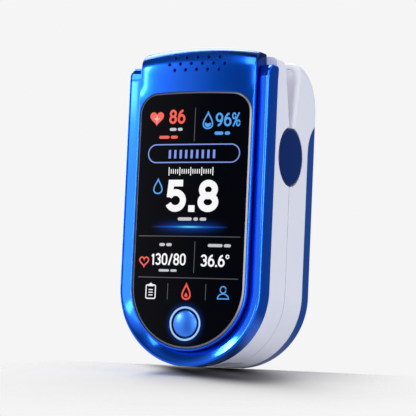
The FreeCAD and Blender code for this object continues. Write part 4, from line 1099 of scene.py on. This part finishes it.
# World: a pale tone for what the camera and the gloss see, a plain level for the light that falls on things
def makeWorld():
    world = bpy.data.worlds.new("studio")
    bpy.context.scene.world = world
    start = bareWire(world)
    pale, plain = [start.make("Background", {"Color": rgb(*worldTones[use]), "Strength": 1.0})
                   for use in ("seen", "light")]
    seen = seenBy(start, "Camera", "Glossy", "Transmission")
    start.make("MixShader", {"Fac": seen, 1: plain, 2: pale}).end("World")


makeWorld()


# Direction from the part, by azimuth (0 is the front, 90 the right) and elevation
def direction(azimuth, elevation):
    a, e = math.radians(azimuth), math.radians(elevation)
    return np.array([math.sin(a) * math.cos(e), -math.cos(a) * math.cos(e), math.sin(e)])


def setPlace(thing, side, up, back, place):
    matrix = np.eye(4)
    matrix[:3] = columns(side, up, back, place * mm)
    thing.matrix_world = Matrix(matrix.tolist())


lookAt = np.array([0.0, 0.0, 32.0])
lampFar = 1300.0
# Lamps: azimuth, elevation, width, height, tone, and whether the gloss and the dull surfaces see them
lamps = {"overhead": (-100, 64, 780, 450, 9.0, False, True),
         "sideRight": (82, 15, 600, 780, 3.7, False, True),
         "keyLeft": (-42.5, 12, 130, 360, 11.0, True, True),
         "streak": (-44, 16.5, 150, 80, 28.0, True, True),
         "lipRight": (42, 4, 200, 900, 16.0, True, False),
         "topLine": (-128, 48, 1000, 480, 8.0, True, False),
         "capLeft": (-4, 44, 420, 1000, 4.5, True, False),
         "bandTop": (2, 10, 150, 80, 6.0, True, False),
         "edgeLeft": (-96, 5, 360, 700, 14.0, True, False),
         "bandLeft": (4, 5, 240, 900, 1.5, True, True)}

# A lamp's power follows from its tone, the brightness that the gloss shows, and its size
for name, (azimuth, elevation, wide, tall, tone, gloss, dull) in lamps.items():
    data = bpy.data.lights.new(name, "AREA")
    data.shape = "RECTANGLE"
    data.size, data.size_y = wide * mm, tall * mm
    data.energy = tone * math.pi * data.size * data.size_y
    light = newThing(name, data)
    light.visible_glossy, light.visible_diffuse = gloss, dull
    back = direction(azimuth, elevation)
    side = unit(np.cross([0, 0, 1.0], back))
    setPlace(light, side, np.cross(back, side), back, lookAt + back * lampFar)

# Cards: azimuth and elevation from and to, distance, tone, and the fade at the left, right, lower and upper edge
cards = {"cardFront": ((-31, -3), (-40, 24), 2000, (0.03, 0.09, 0.13), (8, 5, 8, 5)),
         "cardRight": ((50, 86), (-30, 22), 2000, (0.08, 0.14, 0.2), (4, 8, 8, 4)),
         "cardHigh": ((-140, 60), (19, 90), 1990, (0.09, 0.10, 0.12), (10, 8, 5, 0.1)),
         "cardBackRight": ((100, 220), (-40, 44), 2000, (0.08, 0.17, 0.24), (14, 14, 8, 10))}
cardColumns, cardRows = 32, 24


# Dark cards: patches of a sphere round the part, faded at their edges, that only the gloss sees
def makeCards():
    for name, (azimuth, elevation, far, tone, (left, right, low, high)) in cards.items():
        points = [lookAt + direction(a, e) * far for e in np.linspace(*elevation, cardRows)
                  for a in np.linspace(*azimuth, cardColumns)]
        thing = newThing(name, newMesh(name, points, gridFaces(cardRows, cardColumns), solid=False))
        material = bpy.data.materials.new(name)
        material.cycles.emission_sampling = "NONE"
        wire = bareWire(material)
        x, y, z = axes(wire.make("TexCoord", output="Object"))
        turn = wire.maths("ARCTAN2", x, y * -1.0) * (180 / math.pi)
        if azimuth[1] > 180:
            turn = turn + wire.maths("LESS_THAN", turn, 0.0) * 360.0
        rise = wire.maths("ARCSINE", (z - lookAt[2]) / far) * (180 / math.pi)
        shade = turn.ramp(azimuth[0], left) * turn.ramp(azimuth[1], -right)
        shade = shade * rise.ramp(elevation[0], low) * rise.ramp(elevation[1], -high)
        dark = wire.make("Emission", {"Color": rgb(*tone), "Strength": 1.0})
        wire.make("MixShader", {"Fac": shade, 1: wire.make("BsdfTransparent"), 2: dark}).end("Material")
        thing.data.materials.append(material)
        thing.visible_camera = thing.visible_diffuse = thing.visible_shadow = False


makeCards()

# Camera at the photograph's angle, from the fitted place of its edges
cameraPlan = {"azimuth": 26.0, "elevation": -4.55, "roll": 2.54, "far": 378.84, "lens": 161.2, "sensor": 36.0,
              "target": (4.06, frontY + 0.08, 32.285)}


def makeCamera():
    c = cameraPlan
    back = direction(c["azimuth"], c["elevation"])
    a, roll = math.radians(c["azimuth"]), math.radians(c["roll"])
    level = np.array([math.cos(a), math.sin(a), 0.0])
    upright = np.cross(back, level)
    data = bpy.data.cameras.new("camera")
    data.lens, data.sensor_width = c["lens"], c["sensor"]
    data.clip_start, data.clip_end = 0.01, 10.0
    camera = newThing("camera", data)
    setPlace(camera, level * math.cos(roll) + upright * math.sin(roll),
             upright * math.cos(roll) - level * math.sin(roll), back, np.array(c["target"]) + back * c["far"])
    bpy.context.scene.camera = camera


makeCamera()
bpy.context.scene.view_settings.view_transform = "Standard"
print("stage, lights and camera set")
